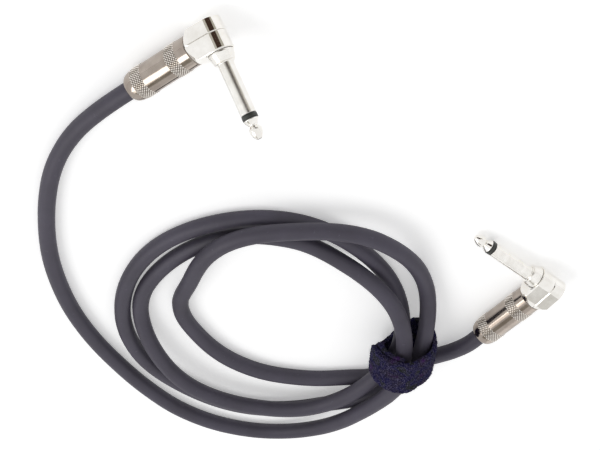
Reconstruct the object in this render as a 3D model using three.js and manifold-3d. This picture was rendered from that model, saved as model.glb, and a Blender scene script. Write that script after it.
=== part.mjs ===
// Instrument cable: a screened cable with a right-angle 6.35 mm plug at each end.
// Three loops of it lie in a coil, held by a hook-and-loop strap.
// Millimetres, +Z up. The origin is on the table, under the middle of the box round the two plugs.
import * as THREE from 'three';
import { mergeVertices } from 'three/addons/utils/BufferGeometryUtils.js';
import Module from 'manifold-3d';

const wasm = await Module();
wasm.setup();

// ---------------------------------------------------------------- driving dimensions, mm

const FIT = 0.3; // clearance between neighbouring pieces
const OVERCUT = 1; // how far a cutting shape runs past what it cuts
const CABLE_D = 7.5; // over the jacket
const JACKET_WALL = 1.6;
const CORE_D = 2.8; // inner insulation
const WIRE_D = 0.9; // bared conductor
const WIRE_BARED = 4; // length of it
const SCREEN_D = 1.2; // twisted screen
const SCREEN_RISE = 2.5; // length over which it rises from the core to the neck's wall
const SCREEN_OFFSET = 1; // how far outside the core it starts
const SCREEN_FOOT = 0.5; // its end lies this far past the head

// The finger, along the plug's +Z from the crossing of the finger's and the barrel's axes.
const FINGER_D = 6.35;
const FINGER_BORE_D = 4.8;
const SLEEVE_END = 32.5; // where the sleeve stops
const RING_LENGTH = 1.6;
const RING_RECESS = 0.05; // below the sleeve's surface
const TIP_END = 42.6;
const TIP_BASE_D = 6.0;
const TIP_BASE_RIM = 0.3; // the straight part of the tip's base
const TIP_NECK_D = 3.5;
const TIP_HEAD_D = 5.3;
const TIP_NECK_AT = 2.3; // from the insulator ring
const TIP_HEAD_AT = 3.9;
const TIP_SHOULDER = 0.4; // rounding on each side of the tip's widest place
const TIP_NOSE_R = 0.9;
const ROD_D = 2.0;
const ROD_INSULATION_WALL = 0.8;
const COLLAR_BASE_D = 10.4;
const COLLAR_TOP_D = 8.4;
const COLLAR_RIM = 0.7; // the straight part of the collar
const COLLAR_EDGE = 0.3; // chamfer round the collar's top
const COLLAR_LENGTH = 3.9;
const SHANK_D = 6.2; // through the head's floor
const RIVET_D = 7.8;
const RIVET_LENGTH = 0.6;

// The head: a teardrop, seen along the finger, with a pressed-on cover.
const HEAD_HEIGHT = 13;
const HEAD_LENGTH = 9.6; // from the finger's axis to the barrel
const HEAD_ROUND_R = 5.5; // round end, about the finger's axis
const HEAD_SHOULDER = 2.1; // straight flanks next to the barrel
const HEAD_CHAMFER = 0.75; // rise of the turned end, per mm
const HEAD_EDGE = 0.4;
const HEAD_WALL = 1.1;
const HEAD_FLOOR = 1.4;
const SEAM_OFFSET = 0.5; // the seam lies this far behind the barrel's axis
const LIP_R = 5.85; // bead under the collar
const LIP_HEIGHT = 0.6;
const LIP_EDGE = 0.2;
const NECK_D = 10.6;
const NECK_BORE_D = 8.6;
const NECK_LENGTH = 5;

// The barrel, along the plug's +X.
const BARREL_LENGTH = 32.1;
const BARREL_D = 12.8;
const KNURL_D = 13.4;
const KNURL_DEPTH = 0.3;
const KNURL_PITCH = 1.17; // width of one diamond
const KNURL_ROW = 0.59; // half the length of one diamond
const KNURL_ROWS = 8;
const KNURL_RUN_OUT = 0.25; // slope from a band down to the barrel's surface
const KNURL_1_AT = 5.1; // from the barrel's open end
const KNURL_2_AT = 22.7;
const NOSE_LENGTH = 4.7;
const NOSE_RIM_D = 9.4;
const BARREL_CHAMFER = 0.3;
const LINER_WALL = 0.6;
const LINER_LENGTH = 9.3;
const CHUCK_WALL = 1.15;
const CHUCK_RING = 4; // its undivided end
const CHUCK_LENGTH = 9.5;
const CHUCK_TAPER = 0.7; // loss of radius along the fingers
const CHUCK_SLOT = 0.8;
const CHUCK_SLOTS = 4;
const BARREL_TRAVEL = 4; // five turns of the neck's thread
const STUB_INSIDE = 1.6; // the jacket stub stops this far inside the mouth
const JACKET_STRIPPED_AT = 6.6; // jacket starts this far past the neck's end

// Solder side.
const TERMINAL_THICK = 0.6;
const TERMINAL_EYE_D = 6;
const TERMINAL_ARM = 2.4;
const TERMINAL_BEND_AT = 3.4;
const TERMINAL_BEND_LENGTH = 2.6;
const WASHER_THICK = 0.6;
const ROD_RIVET_D = 3.6;
const ROD_RIVET_LENGTH = 0.6;

// Where the plugs lie. heading: the barrel's direction in plan, degrees from +X;
// dip: how far it points below level; lean: turn of the finger about the barrel, from upright.
const PLUG_A = { crossing: [-56.8, 83.44, 9.22], heading: -141, dip: 2.42, lean: -43.45 };
const PLUG_B = { crossing: [84.05, -54.57, 6.95], heading: -128.36, dip: 0, lean: 94.8 };

// The cable's route. Every height is given as a lift above lying on the table.
const TABLE_GAP = 0.1;
const LEAD_STRAIGHT = 8; // straight run out of a plug or the coil
const LEAD_A_ROUTE = [
  [-105, 43, 1.7],
  [-113.5, 33.5, 0.5],
  [-120.5, 23, 0],
  [-126, 11, 0],
  [-130, -4, 0],
  [-132.5, -22, 0],
  [-133, -40, 0],
  [-131, -58, 0],
  [-127, -75, 0],
  [-120, -93, 0],
  [-110.5, -110.5, 0],
  [-98, -129, 0],
  [-83.5, -145, 0],
  [-66, -156.5, 0],
  [-47, -162.5, 0],
  [-30, -161.8, 1.1],
  [-15, -154.5, 4.4],
  [-4.5, -144.6, 8.2],
  [3.6, -134.2, 11.4],
  [11, -123.5, 14.3],
  [16.8, -113.4, 16.8],
];
const LEAD_B_ROUTE = [
  [16, -117.2, 0],
  [24, -112.4, 0],
  [32, -108.8, 0],
  [39, -105.8, 0.2],
  [46, -101.2, 1.3],
];

// The coil: stations every 30 degrees round its centre, counter-clockwise from the strap.
// reach: from the coil's centre to the cable's middle. lift: above lying on the table.
const COIL_CENTRE = [-38, -80];
const COIL_FIRST_ANGLE = -11;
const STATIONS_PER_LOOP = 12;
const COIL_START = 0.12;
const COIL_END = 34.55;
const COIL_STEPS_PER_STATION = 2;
const COIL_LEAST_STEP = 0.2; // a shorter last step is left out
const COIL_NUDGE = 0.02; // part of a station, for the direction at the coil's ends
const COIL_APART = 30; // strands count as neighbours from this far along the cable
const COIL_SIDES = 6;
const LOOPS = [
  {
    reach: [60.5, 58.5, 51.5, 52, 55, 57, 59, 56, 56, 57, 60, 57.5],
    lift: [16.8, 11.8, 3.8, 0.5, 0, 0, 0, 4.3, 5.9, 5.9, 6.1, 8.6],
  },
  {
    reach: [60, 59, 59.5, 62.5, 64.5, 67, 67, 66, 63.5, 65, 66.5, 69],
    lift: [5.8, 0, 0, 0, 0, 0, 0, 0, 0, 0, 0, 5.9],
  },
  {
    reach: [68.5, 73, 74, 65, 59.5, 46, 41, 35, 34, 37, 44.5, 60],
    lift: [12.1, 1.8, 7.3, 8.4, 9.2, 5.9, 0.3, 0, 0, 0, 0, 0],
  },
];
const COIL_LAST = { reach: 86, lift: 0 };

// The strap: a ring of strap round three strands, lapped on itself.
const STRAP_CENTRE = [23.6, -91.5, 14.4];
const STRAP_BORE_R = 11.35;
const STRAP_THICK = 2.3;
const STRAP_WIDTH = 18;
const STRAP_LAP_FROM = 100; // degrees from +X, where the inner end lies
const STRAP_LAP = 135;
const STRAP_RAMP = 40;
const STRAP_STEP = 10;
const STRAP_TURN = -3;

// ---------------------------------------------------------------- helpers

const rad = THREE.MathUtils.degToRad;

function indexed(geometry) {
  geometry.deleteAttribute('normal');
  geometry.deleteAttribute('uv');
  return mergeVertices(geometry);
}

function toManifold(geometry) {
  const merged = indexed(geometry);
  const corners = merged.index.array;
  const kept = [];
  for (let i = 0; i < corners.length; i += 3) {
    const [a, b, c] = [corners[i], corners[i + 1], corners[i + 2]];
    if (a !== b && b !== c && c !== a) kept.push(a, b, c);
  }
  const vertProperties = new Float32Array(merged.attributes.position.array);
  return new wasm.Manifold(new wasm.Mesh({ numProp: 3, vertProperties, triVerts: new Uint32Array(kept) }));
}

function fromManifold(solid) {
  const mesh = solid.getMesh();
  const geometry = new THREE.BufferGeometry();
  geometry.setAttribute('position', new THREE.BufferAttribute(mesh.vertProperties, 3));
  geometry.setIndex(new THREE.BufferAttribute(mesh.triVerts, 1));
  geometry.computeVertexNormals();
  return geometry;
}

// A closed profile of [radius, height] turned about +Z.
function turnedZ(profile, segments) {
  const points = profile.map(([r, z]) => new THREE.Vector2(r, z));
  if (profile[0][0] > 0) points.push(points[0].clone());
  if (THREE.ShapeUtils.area(points) < 0) points.reverse();
  return new THREE.LatheGeometry(points, segments).rotateX(Math.PI / 2);
}

// The same, turned about +X.
function turnedX(profile, segments) {
  return turnedZ(profile, segments).rotateY(Math.PI / 2);
}

function tubeProfile(innerR, outerR, from, to) {
  return [[innerR, from], [outerR, from], [outerR, to], [innerR, to]];
}

function discProfile(radius, from, to) {
  return [[0, from], [radius, from], [radius, to], [0, to]];
}

function block(from, to) {
  const size = to.map((v, i) => v - from[i]);
  const middle = to.map((v, i) => (v + from[i]) / 2);
  return new THREE.BoxGeometry(...size).translate(...middle);
}

function addPiece(parent, name, geometry, material) {
  const mesh = new THREE.Mesh(geometry, material);
  mesh.name = name;
  parent.add(mesh);
  return mesh;
}

// ---------------------------------------------------------------- materials

function finish(color, roughness, metalness) {
  return new THREE.MeshStandardMaterial({ color, roughness, metalness });
}

const polishedNickel = finish('#dcdad6', 0.12, 1);
const satinNickel = finish('#b5aca2', 0.32, 1);
const blackPlastic = finish('#2b2b2c', 0.5, 0);
const clearPlastic = finish('#d9d4c8', 0.4, 0);
const brass = finish('#c9a85c', 0.3, 1);
const tinnedCopper = finish('#b9a58f', 0.4, 1);
const jacketRubber = finish('#3b3941', 0.6, 0);
const strapCloth = finish('#15141f', 0.95, 0);

// ---------------------------------------------------------------- places along the plug's axes

const headHalf = HEAD_HEIGHT / 2;
const seamZ = -SEAM_OFFSET;
const floorZ = headHalf - HEAD_FLOOR;
const cavityEndX = HEAD_LENGTH - HEAD_WALL;
const neckEndX = HEAD_LENGTH + NECK_LENGTH;
const barrelX = HEAD_LENGTH + FIT;
const mouthX = barrelX + BARREL_LENGTH;
const rivetTopZ = floorZ - FIT;
const rivetZ = rivetTopZ - RIVET_LENGTH;
const washerZ = rivetZ - FIT - WASHER_THICK;
const eyeZ = washerZ - FIT - TERMINAL_THICK;
const rodRivetZ = eyeZ - FIT - ROD_RIVET_LENGTH;
const ringZ = SLEEVE_END + FIT;
const tipZ = ringZ + RING_LENGTH + FIT;
const cableR = CABLE_D / 2;
const stubX = neckEndX + JACKET_STRIPPED_AT;
const stubEndX = mouthX - STUB_INSIDE;
const linerX = neckEndX + FIT;
const chuckX = linerX + LINER_LENGTH + BARREL_TRAVEL + FIT;
const chuckR = cableR + FIT + CHUCK_WALL;

// ---------------------------------------------------------------- the finger

function fingerSleeve() {
  const boreR = FINGER_BORE_D / 2;
  const collarZ = headHalf + LIP_HEIGHT / 2 + FIT;
  const collarTopZ = collarZ + COLLAR_LENGTH;
  return turnedZ([
    [boreR, rivetZ],
    [RIVET_D / 2, rivetZ],
    [RIVET_D / 2, rivetTopZ],
    [SHANK_D / 2, rivetTopZ],
    [SHANK_D / 2, collarZ],
    [COLLAR_BASE_D / 2, collarZ],
    [COLLAR_BASE_D / 2, collarZ + COLLAR_RIM],
    [COLLAR_TOP_D / 2 + COLLAR_EDGE / 2, collarTopZ - 1.5 * COLLAR_EDGE],
    [COLLAR_TOP_D / 2 - COLLAR_EDGE, collarTopZ],
    [FINGER_D / 2, collarTopZ],
    [FINGER_D / 2, SLEEVE_END],
    [boreR, SLEEVE_END],
  ], 24);
}

function tipInsulatorRing() {
  const outerR = FINGER_D / 2 - RING_RECESS;
  return turnedZ(tubeProfile(ROD_D / 2 + FIT, outerR, ringZ, ringZ + RING_LENGTH), 24);
}

// The spear tip, in one piece with the rod that runs back into the head.
function fingerTip() {
  const rodR = ROD_D / 2;
  const headR = TIP_HEAD_D / 2;
  const headZ = tipZ + TIP_HEAD_AT;
  const noseZ = TIP_END - TIP_NOSE_R;
  const profile = [
    [0, rodRivetZ],
    [ROD_RIVET_D / 2, rodRivetZ],
    [ROD_RIVET_D / 2, rodRivetZ + ROD_RIVET_LENGTH],
    [rodR, rodRivetZ + ROD_RIVET_LENGTH],
    [rodR, tipZ],
    [TIP_BASE_D / 2, tipZ],
    [TIP_BASE_D / 2, tipZ + TIP_BASE_RIM],
    [TIP_NECK_D / 2, tipZ + TIP_NECK_AT],
    [headR - TIP_SHOULDER / 4, headZ - TIP_SHOULDER],
    [headR, headZ],
    [headR - TIP_SHOULDER / 3, headZ + TIP_SHOULDER],
  ];
  for (const turn of [25, 50, 75]) {
    profile.push([TIP_NOSE_R * Math.cos(rad(turn)), noseZ + TIP_NOSE_R * Math.sin(rad(turn))]);
  }
  profile.push([0, TIP_END]);
  return turnedZ(profile, 24);
}

function rodInsulator() {
  const innerR = ROD_D / 2 + FIT;
  return turnedZ(tubeProfile(innerR, innerR + ROD_INSULATION_WALL, rivetZ, SLEEVE_END), 16);
}

function terminalWasher() {
  return turnedZ(tubeProfile(ROD_D / 2 + FIT, RIVET_D / 2, washerZ, washerZ + WASHER_THICK), 20);
}

// A solder lug: an eye round the rod, and an arm that drops to the wire in the neck.
function tipTerminal() {
  const lowZ = WIRE_D / 2 + FIT;
  const bendEndX = TERMINAL_BEND_AT + TERMINAL_BEND_LENGTH;
  const armEndX = stubX - CORE_D - 2 * FIT - TERMINAL_ARM;
  const side = new THREE.Shape();
  side.moveTo(0, eyeZ);
  side.lineTo(TERMINAL_BEND_AT, eyeZ);
  side.lineTo(bendEndX, lowZ);
  side.lineTo(armEndX, lowZ);
  side.lineTo(armEndX, lowZ + TERMINAL_THICK);
  side.lineTo(bendEndX, lowZ + TERMINAL_THICK);
  side.lineTo(TERMINAL_BEND_AT, eyeZ + TERMINAL_THICK);
  side.lineTo(0, eyeZ + TERMINAL_THICK);
  const arm = new THREE.ExtrudeGeometry(side, { depth: TERMINAL_ARM, bevelEnabled: false });
  arm.rotateX(Math.PI / 2).translate(0, TERMINAL_ARM / 2, 0);
  const eye = toManifold(turnedZ(discProfile(TERMINAL_EYE_D / 2, eyeZ, eyeZ + TERMINAL_THICK), 20));
  const holeTopZ = eyeZ + TERMINAL_THICK + OVERCUT;
  const hole = toManifold(turnedZ(discProfile(ROD_D / 2 + FIT, eyeZ - OVERCUT, holeTopZ), 16));
  return fromManifold(eye.add(toManifold(arm)).subtract(hole));
}

// ---------------------------------------------------------------- the head

// Teardrop in the plane square to the finger, drawn in from the outside by inset.
function headOutline(inset, endX) {
  const half = headHalf - inset;
  const roundR = HEAD_ROUND_R - inset;
  const shoulderX = HEAD_LENGTH - HEAD_SHOULDER;
  const touch = Math.atan2(half, shoulderX) + Math.acos(roundR / Math.hypot(shoulderX, half));
  const outline = new THREE.Shape();
  outline.moveTo(endX, -half);
  outline.lineTo(endX, half);
  outline.lineTo(shoulderX, half);
  outline.absarc(0, 0, roundR, touch, 2 * Math.PI - touch, false);
  outline.lineTo(shoulderX, -half);
  return outline;
}

// The outside of the whole head: the teardrop, turned to the barrel's size at its end.
function headBlank() {
  const depth = HEAD_HEIGHT - 2 * HEAD_EDGE;
  const drop = new THREE.ExtrudeGeometry(headOutline(0, HEAD_LENGTH + OVERCUT), {
    depth,
    curveSegments: 24,
    bevelThickness: HEAD_EDGE,
    bevelSize: HEAD_EDGE,
    bevelOffset: -HEAD_EDGE,
    bevelSegments: 2,
  }).translate(0, 0, -depth / 2);
  const backX = -HEAD_ROUND_R - OVERCUT;
  const backR = headHalf + (HEAD_LENGTH - backX) * HEAD_CHAMFER;
  const cone = turnedX([[0, backX], [backR, backX], [headHalf, HEAD_LENGTH], [0, HEAD_LENGTH]], 40);
  return toManifold(drop).intersect(toManifold(cone));
}

function headCavity() {
  const roofZ = -headHalf + HEAD_WALL;
  const hollow = new THREE.ExtrudeGeometry(headOutline(HEAD_WALL, cavityEndX), {
    depth: floorZ - roofZ,
    curveSegments: 16,
    bevelEnabled: false,
  });
  return toManifold(hollow.translate(0, 0, roofZ));
}

function slab(fromZ, toZ) {
  const far = 2 * HEAD_HEIGHT;
  return toManifold(block([-far, -far, fromZ], [far, far, toZ]));
}

// The finger's half of the head, with the threaded neck that the barrel screws on.
function headBody() {
  const lip = toManifold(turnedZ([
    [0, headHalf - LIP_HEIGHT / 2],
    [LIP_R - LIP_EDGE, headHalf - LIP_HEIGHT / 2],
    [LIP_R, headHalf],
    [LIP_R - LIP_EDGE, headHalf + LIP_HEIGHT / 2],
    [0, headHalf + LIP_HEIGHT / 2],
  ], 28));
  const neck = toManifold(turnedX(discProfile(NECK_D / 2, cavityEndX, neckEndX), 28));
  const bore = discProfile(NECK_BORE_D / 2, cavityEndX - OVERCUT, neckEndX + OVERCUT);
  const neckBore = toManifold(turnedX(bore, 24));
  const shank = discProfile(SHANK_D / 2 + FIT, floorZ - OVERCUT, headHalf + OVERCUT);
  const shankHole = toManifold(turnedZ(shank, 20));
  const half = headBlank().intersect(slab(seamZ, 2 * HEAD_HEIGHT)).subtract(headCavity());
  return fromManifold(half.add(lip).add(neck).subtract(neckBore).subtract(shankHole));
}

// The outer half, pressed on: a cap with a notch for the neck.
function headCover() {
  const notch = discProfile(NECK_D / 2 + FIT, cavityEndX - OVERCUT, HEAD_LENGTH + OVERCUT);
  const neckRoom = turnedX(notch, 28);
  const half = headBlank().intersect(slab(-2 * HEAD_HEIGHT, seamZ - FIT)).subtract(headCavity());
  return fromManifold(half.subtract(toManifold(neckRoom)));
}

// ---------------------------------------------------------------- the barrel and what it holds

// A solid turned about +X. Rows with a depth are knurled: every other corner is cut in by it, and each
// four-sided cell is split between its two low corners, so that the high ones stand as diamond points.
function knurledTurning(rows, columns) {
  const positions = [];
  const faces = [];
  rows.forEach(([r, x, depth = 0], row) => {
    for (let column = 0; column < columns; column++) {
      const angle = (2 * Math.PI * column) / columns;
      const cut = (row + column) % 2 ? depth : 0;
      positions.push(x, (r - cut) * Math.cos(angle), (r - cut) * Math.sin(angle));
    }
  });
  const at = (row, column) => row * columns + (column % columns);
  for (let row = 0; row + 1 < rows.length; row++) {
    for (let column = 0; column < columns; column++) {
      const [a, b] = [at(row, column), at(row, column + 1)];
      const [d, c] = [at(row + 1, column), at(row + 1, column + 1)];
      if ((row + column) % 2) faces.push(a, b, c, a, c, d);
      else faces.push(a, b, d, b, c, d);
    }
  }
  for (let column = 1; column + 1 < columns; column++) {
    faces.push(at(0, 0), at(0, column + 1), at(0, column));
    faces.push(at(rows.length - 1, 0), at(rows.length - 1, column), at(rows.length - 1, column + 1));
  }
  const geometry = new THREE.BufferGeometry();
  geometry.setAttribute('position', new THREE.Float32BufferAttribute(positions, 3));
  geometry.setIndex(faces);
  return geometry;
}

function knurlRows(at) {
  const band = [];
  for (let row = 0; row <= KNURL_ROWS; row++) {
    band.push([KNURL_D / 2, barrelX + at + row * KNURL_ROW, KNURL_DEPTH]);
  }
  return band;
}

function barrel() {
  const bodyR = BARREL_D / 2;
  const noseX = mouthX - NOSE_LENGTH;
  const knurlLength = KNURL_ROWS * KNURL_ROW;
  const rows = [
    [bodyR - BARREL_CHAMFER, barrelX],
    [bodyR, barrelX + BARREL_CHAMFER],
    [bodyR, barrelX + KNURL_1_AT - KNURL_RUN_OUT],
    ...knurlRows(KNURL_1_AT),
    [bodyR, barrelX + KNURL_1_AT + knurlLength + KNURL_RUN_OUT],
    [bodyR, barrelX + KNURL_2_AT - KNURL_RUN_OUT],
    ...knurlRows(KNURL_2_AT),
  ];
  for (const turn of [0, 30, 55, 75]) {
    const r = NOSE_RIM_D / 2 + (bodyR - NOSE_RIM_D / 2) * Math.cos(rad(turn));
    rows.push([r, noseX + KNURL_RUN_OUT + (NOSE_LENGTH - KNURL_RUN_OUT) * Math.sin(rad(turn))]);
  }
  rows.push([NOSE_RIM_D / 2, mouthX]);
  const columns = 2 * Math.round((Math.PI * KNURL_D) / KNURL_PITCH);
  const taperX = chuckX + CHUCK_RING;
  const taperEndX = chuckX + CHUCK_LENGTH + FIT;
  const bore = turnedX([
    [0, barrelX - OVERCUT],
    [NECK_D / 2 + FIT, barrelX - OVERCUT],
    [NECK_D / 2 + FIT, taperX],
    [chuckR - CHUCK_TAPER + FIT, taperEndX],
    [cableR + FIT, taperEndX],
    [cableR + FIT, mouthX + OVERCUT],
    [0, mouthX + OVERCUT],
  ], 28);
  return fromManifold(toManifold(knurledTurning(rows, columns)).subtract(toManifold(bore)));
}

function linerTube() {
  const outerR = NECK_D / 2;
  return turnedX(tubeProfile(outerR - LINER_WALL, outerR, linerX, linerX + LINER_LENGTH), 24);
}

// A collet: a ring with tapered fingers that close on the jacket.
function cableChuck() {
  const endX = chuckX + CHUCK_LENGTH;
  const innerR = cableR + FIT;
  const collet = toManifold(turnedX([
    [innerR, chuckX],
    [chuckR, chuckX],
    [chuckR, chuckX + CHUCK_RING],
    [chuckR - CHUCK_TAPER, endX],
    [innerR, endX],
  ], 24));
  let slotted = collet;
  for (let slot = 0; slot < CHUCK_SLOTS; slot++) {
    const slotEnd = [endX + OVERCUT, 2 * chuckR, CHUCK_SLOT / 2];
    const cut = block([chuckX + CHUCK_RING, 0, -CHUCK_SLOT / 2], slotEnd);
    slotted = slotted.subtract(toManifold(cut.rotateX((2 * Math.PI * slot) / CHUCK_SLOTS)));
  }
  return fromManifold(slotted);
}

// The jacket's end inside the barrel, cut back and hollow where the screen was drawn out.
function cableEnd() {
  return turnedX([
    [0, stubX + JACKET_WALL],
    [cableR - JACKET_WALL, stubX + JACKET_WALL],
    [cableR - JACKET_WALL, stubX],
    [cableR, stubX],
    [cableR, stubEndX],
    [0, stubEndX],
  ], 20);
}

// Inner insulation, stripped to the wire that is soldered to the terminal's arm.
function cableCore() {
  const bareX = stubX - CORE_D;
  return turnedX([
    [0, bareX - WIRE_BARED],
    [WIRE_D / 2, bareX - WIRE_BARED],
    [WIRE_D / 2, bareX],
    [CORE_D / 2, bareX],
    [CORE_D / 2, stubX + JACKET_WALL - FIT],
    [0, stubX + JACKET_WALL - FIT],
  ], 12);
}

// The screen's strands, twisted together and laid on the neck's wall.
function shieldTail() {
  const wallZ = NECK_BORE_D / 2 - FIT - SCREEN_D / 2;
  const startZ = cableR - JACKET_WALL - SCREEN_D / 2 + SCREEN_OFFSET;
  const path = new THREE.CatmullRomCurve3([
    new THREE.Vector3(stubX - FIT, 0, startZ),
    new THREE.Vector3(stubX - SCREEN_RISE, 0, (startZ + 4 * wallZ) / 5),
    new THREE.Vector3(neckEndX + SCREEN_OFFSET, 0, wallZ),
    new THREE.Vector3(HEAD_LENGTH + SCREEN_FOOT, 0, wallZ),
  ]);
  return sweptTube(path.getSpacedPoints(6), SCREEN_D / 2, 8);
}

// ---------------------------------------------------------------- tubes along a route

// One closed tube through points, its rings carried along the route without twist.
function sweptTube(points, radius, sides) {
  const positions = [];
  const faces = [];
  let across = new THREE.Vector3(0, 0, 1);
  points.forEach((point, i) => {
    const before = points[Math.max(i - 1, 0)];
    const after = points[Math.min(i + 1, points.length - 1)];
    const along = after.clone().sub(before).normalize();
    across = across.clone().addScaledVector(along, -across.dot(along)).normalize();
    const side = along.clone().cross(across);
    for (let k = 0; k < sides; k++) {
      const angle = (2 * Math.PI * (k + 0.5)) / sides;
      const corner = point.clone().addScaledVector(across, radius * Math.cos(angle));
      corner.addScaledVector(side, radius * Math.sin(angle));
      positions.push(corner.x, corner.y, corner.z);
    }
  });
  const at = (ring, k) => ring * sides + (k % sides);
  for (let ring = 0; ring + 1 < points.length; ring++) {
    for (let k = 0; k < sides; k++) {
      faces.push(at(ring, k), at(ring, k + 1), at(ring + 1, k + 1));
      faces.push(at(ring, k), at(ring + 1, k + 1), at(ring + 1, k));
    }
  }
  const last = points.length - 1;
  for (let k = 1; k + 1 < sides; k++) {
    faces.push(at(0, 0), at(0, k + 1), at(0, k));
    faces.push(at(last, 0), at(last, k), at(last, k + 1));
  }
  const geometry = new THREE.BufferGeometry();
  geometry.setAttribute('position', new THREE.Float32BufferAttribute(positions, 3));
  geometry.setIndex(faces);
  geometry.computeVertexNormals();
  return geometry;
}

// A lead: a ten-sided tube along a smooth curve, with a step every two diameters.
function leadTube(points) {
  const route = new THREE.CatmullRomCurve3(points, false, 'centripetal');
  const section = new THREE.Shape();
  section.absellipse(0, 0, cableR, cableR, 0, 2 * Math.PI);
  const steps = Math.round(route.getLength() / (2 * CABLE_D));
  return new THREE.ExtrudeGeometry(section, { steps, extrudePath: route, curveSegments: 5 });
}

const restingZ = CABLE_D / 2 + TABLE_GAP;
const onTable = ([x, y, lift]) => new THREE.Vector3(x, y, restingZ + lift);

// ---------------------------------------------------------------- the coil

const stations = LOOPS.flatMap(({ reach, lift }) => reach.map((r, i) => ({ reach: r, lift: lift[i] })));
stations.push(COIL_LAST);

const clampStation = (i) => stations[THREE.MathUtils.clamp(i, 0, stations.length - 1)];

// Reach at a place between stations: a curve through them.
function reachAt(t) {
  const i = Math.min(Math.floor(t), stations.length - 2);
  const u = t - i;
  const [p0, p1, p2, p3] = [i - 1, i, i + 1, i + 2].map((k) => clampStation(k).reach);
  const bend = 2 * p0 - 5 * p1 + 4 * p2 - p3;
  return 0.5 * (2 * p1 + (p2 - p0) * u + bend * u ** 2 + (3 * p1 - p0 - 3 * p2 + p3) * u ** 3);
}

// Slope of the lift at a station: level at every crest and hollow, so that the cable never dips below it.
function liftSlope(i) {
  const before = clampStation(i).lift - clampStation(i - 1).lift;
  const after = clampStation(i + 1).lift - clampStation(i).lift;
  return before * after > 0 ? (2 * before * after) / (before + after) : 0;
}

function liftAt(t) {
  const i = Math.min(Math.floor(t), stations.length - 2);
  const u = t - i;
  const rise = u * u * (3 - 2 * u);
  const ends = stations[i].lift * (1 - rise) + stations[i + 1].lift * rise;
  return ends + liftSlope(i) * u * (1 - u) ** 2 - liftSlope(i + 1) * u * u * (1 - u);
}

function coilPoint(t) {
  const angle = rad(COIL_FIRST_ANGLE + (360 / STATIONS_PER_LOOP) * t);
  const reach = reachAt(t);
  const x = COIL_CENTRE[0] + reach * Math.cos(angle);
  const y = COIL_CENTRE[1] + reach * Math.sin(angle);
  return onTable([x, y, liftAt(t)]);
}

// The coil's middle line, with a straight run of one diameter and a little more at each end.
function coilLine() {
  const steps = [COIL_START];
  for (let step = 1; step / COIL_STEPS_PER_STATION < COIL_END; step++) {
    steps.push(step / COIL_STEPS_PER_STATION);
  }
  if (COIL_END - steps[steps.length - 1] < COIL_LEAST_STEP) steps.pop();
  steps.push(COIL_END);
  const line = steps.map(coilPoint);
  const out0 = coilPoint(COIL_START).sub(coilPoint(COIL_START + COIL_NUDGE)).normalize();
  const out1 = coilPoint(COIL_END).sub(coilPoint(COIL_END - COIL_NUDGE)).normalize();
  line.unshift(line[0].clone().addScaledVector(out0, LEAD_STRAIGHT));
  line.push(line[line.length - 1].clone().addScaledVector(out1, LEAD_STRAIGHT));
  return { line, out0, out1 };
}

// Least gap between strands of one line, measured on points a millimetre apart.
function leastGap(points, diameter, apart) {
  const path = new THREE.CurvePath();
  for (let i = 0; i + 1 < points.length; i++) path.add(new THREE.LineCurve3(points[i], points[i + 1]));
  const count = Math.round(path.getLength());
  const samples = [];
  for (let i = 0; i <= count; i++) samples.push(path.getPointAt(i / count));
  let least = Infinity;
  for (let i = 0; i < samples.length; i++) {
    for (let j = i + apart; j < samples.length; j++) {
      least = Math.min(least, samples[i].distanceTo(samples[j]));
    }
  }
  return least - diameter;
}

// ---------------------------------------------------------------- the strap

// One strap, wound once round the strands and lapped over its own start.
function strapGeometry() {
  const step = STRAP_THICK + FIT;
  const radiusAt = (turn) => {
    const u = THREE.MathUtils.clamp((turn - (360 - STRAP_RAMP)) / STRAP_RAMP, 0, 1);
    return STRAP_BORE_R + step * u * u * (3 - 2 * u);
  };
  const inner = [];
  const outer = [];
  for (let turn = 0; turn <= 360 + STRAP_LAP; turn += STRAP_STEP) {
    const angle = rad(STRAP_LAP_FROM + turn);
    const r = radiusAt(turn);
    inner.push(new THREE.Vector2(r * Math.cos(angle), r * Math.sin(angle)));
    outer.push(new THREE.Vector2((r + STRAP_THICK) * Math.cos(angle), (r + STRAP_THICK) * Math.sin(angle)));
  }
  const outline = new THREE.Shape([...outer, ...inner.reverse()]);
  const strap = new THREE.ExtrudeGeometry(outline, { depth: STRAP_WIDTH, bevelEnabled: false });
  return strap.translate(0, 0, -STRAP_WIDTH / 2).rotateX(Math.PI / 2);
}

// ---------------------------------------------------------------- assembly

function makePlug(letter, { crossing, heading, dip, lean }) {
  const plug = new THREE.Group();
  plug.position.set(...crossing);
  plug.rotation.set(rad(lean), rad(dip), rad(heading), 'ZYX');
  const add = (name, geometry, material) => addPiece(plug, `${name}_${letter}`, geometry, material);
  add('finger_sleeve', fingerSleeve(), polishedNickel);
  add('tip_insulator_ring', tipInsulatorRing(), blackPlastic);
  add('finger_tip', fingerTip(), polishedNickel);
  add('rod_insulator', rodInsulator(), blackPlastic);
  add('terminal_washer', terminalWasher(), blackPlastic);
  add('tip_terminal', tipTerminal(), brass);
  add('head_body', headBody(), polishedNickel);
  add('head_cover', headCover(), polishedNickel);
  add('barrel', barrel(), satinNickel);
  add('liner_tube', linerTube(), blackPlastic);
  add('cable_chuck', cableChuck(), blackPlastic);
  add('cable_end', cableEnd(), jacketRubber);
  add('cable_core', cableCore(), clearPlastic);
  add('shield_tail', shieldTail(), tinnedCopper);
  plug.updateMatrixWorld(true);
  return plug;
}

// The first two points of a lead: at the jacket stub, and a straight run past the mouth.
function outOf(plug) {
  const start = plug.localToWorld(new THREE.Vector3(stubEndX + FIT, 0, 0));
  const straight = plug.localToWorld(new THREE.Vector3(mouthX + LEAD_STRAIGHT, 0, 0));
  return [start, straight];
}

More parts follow.
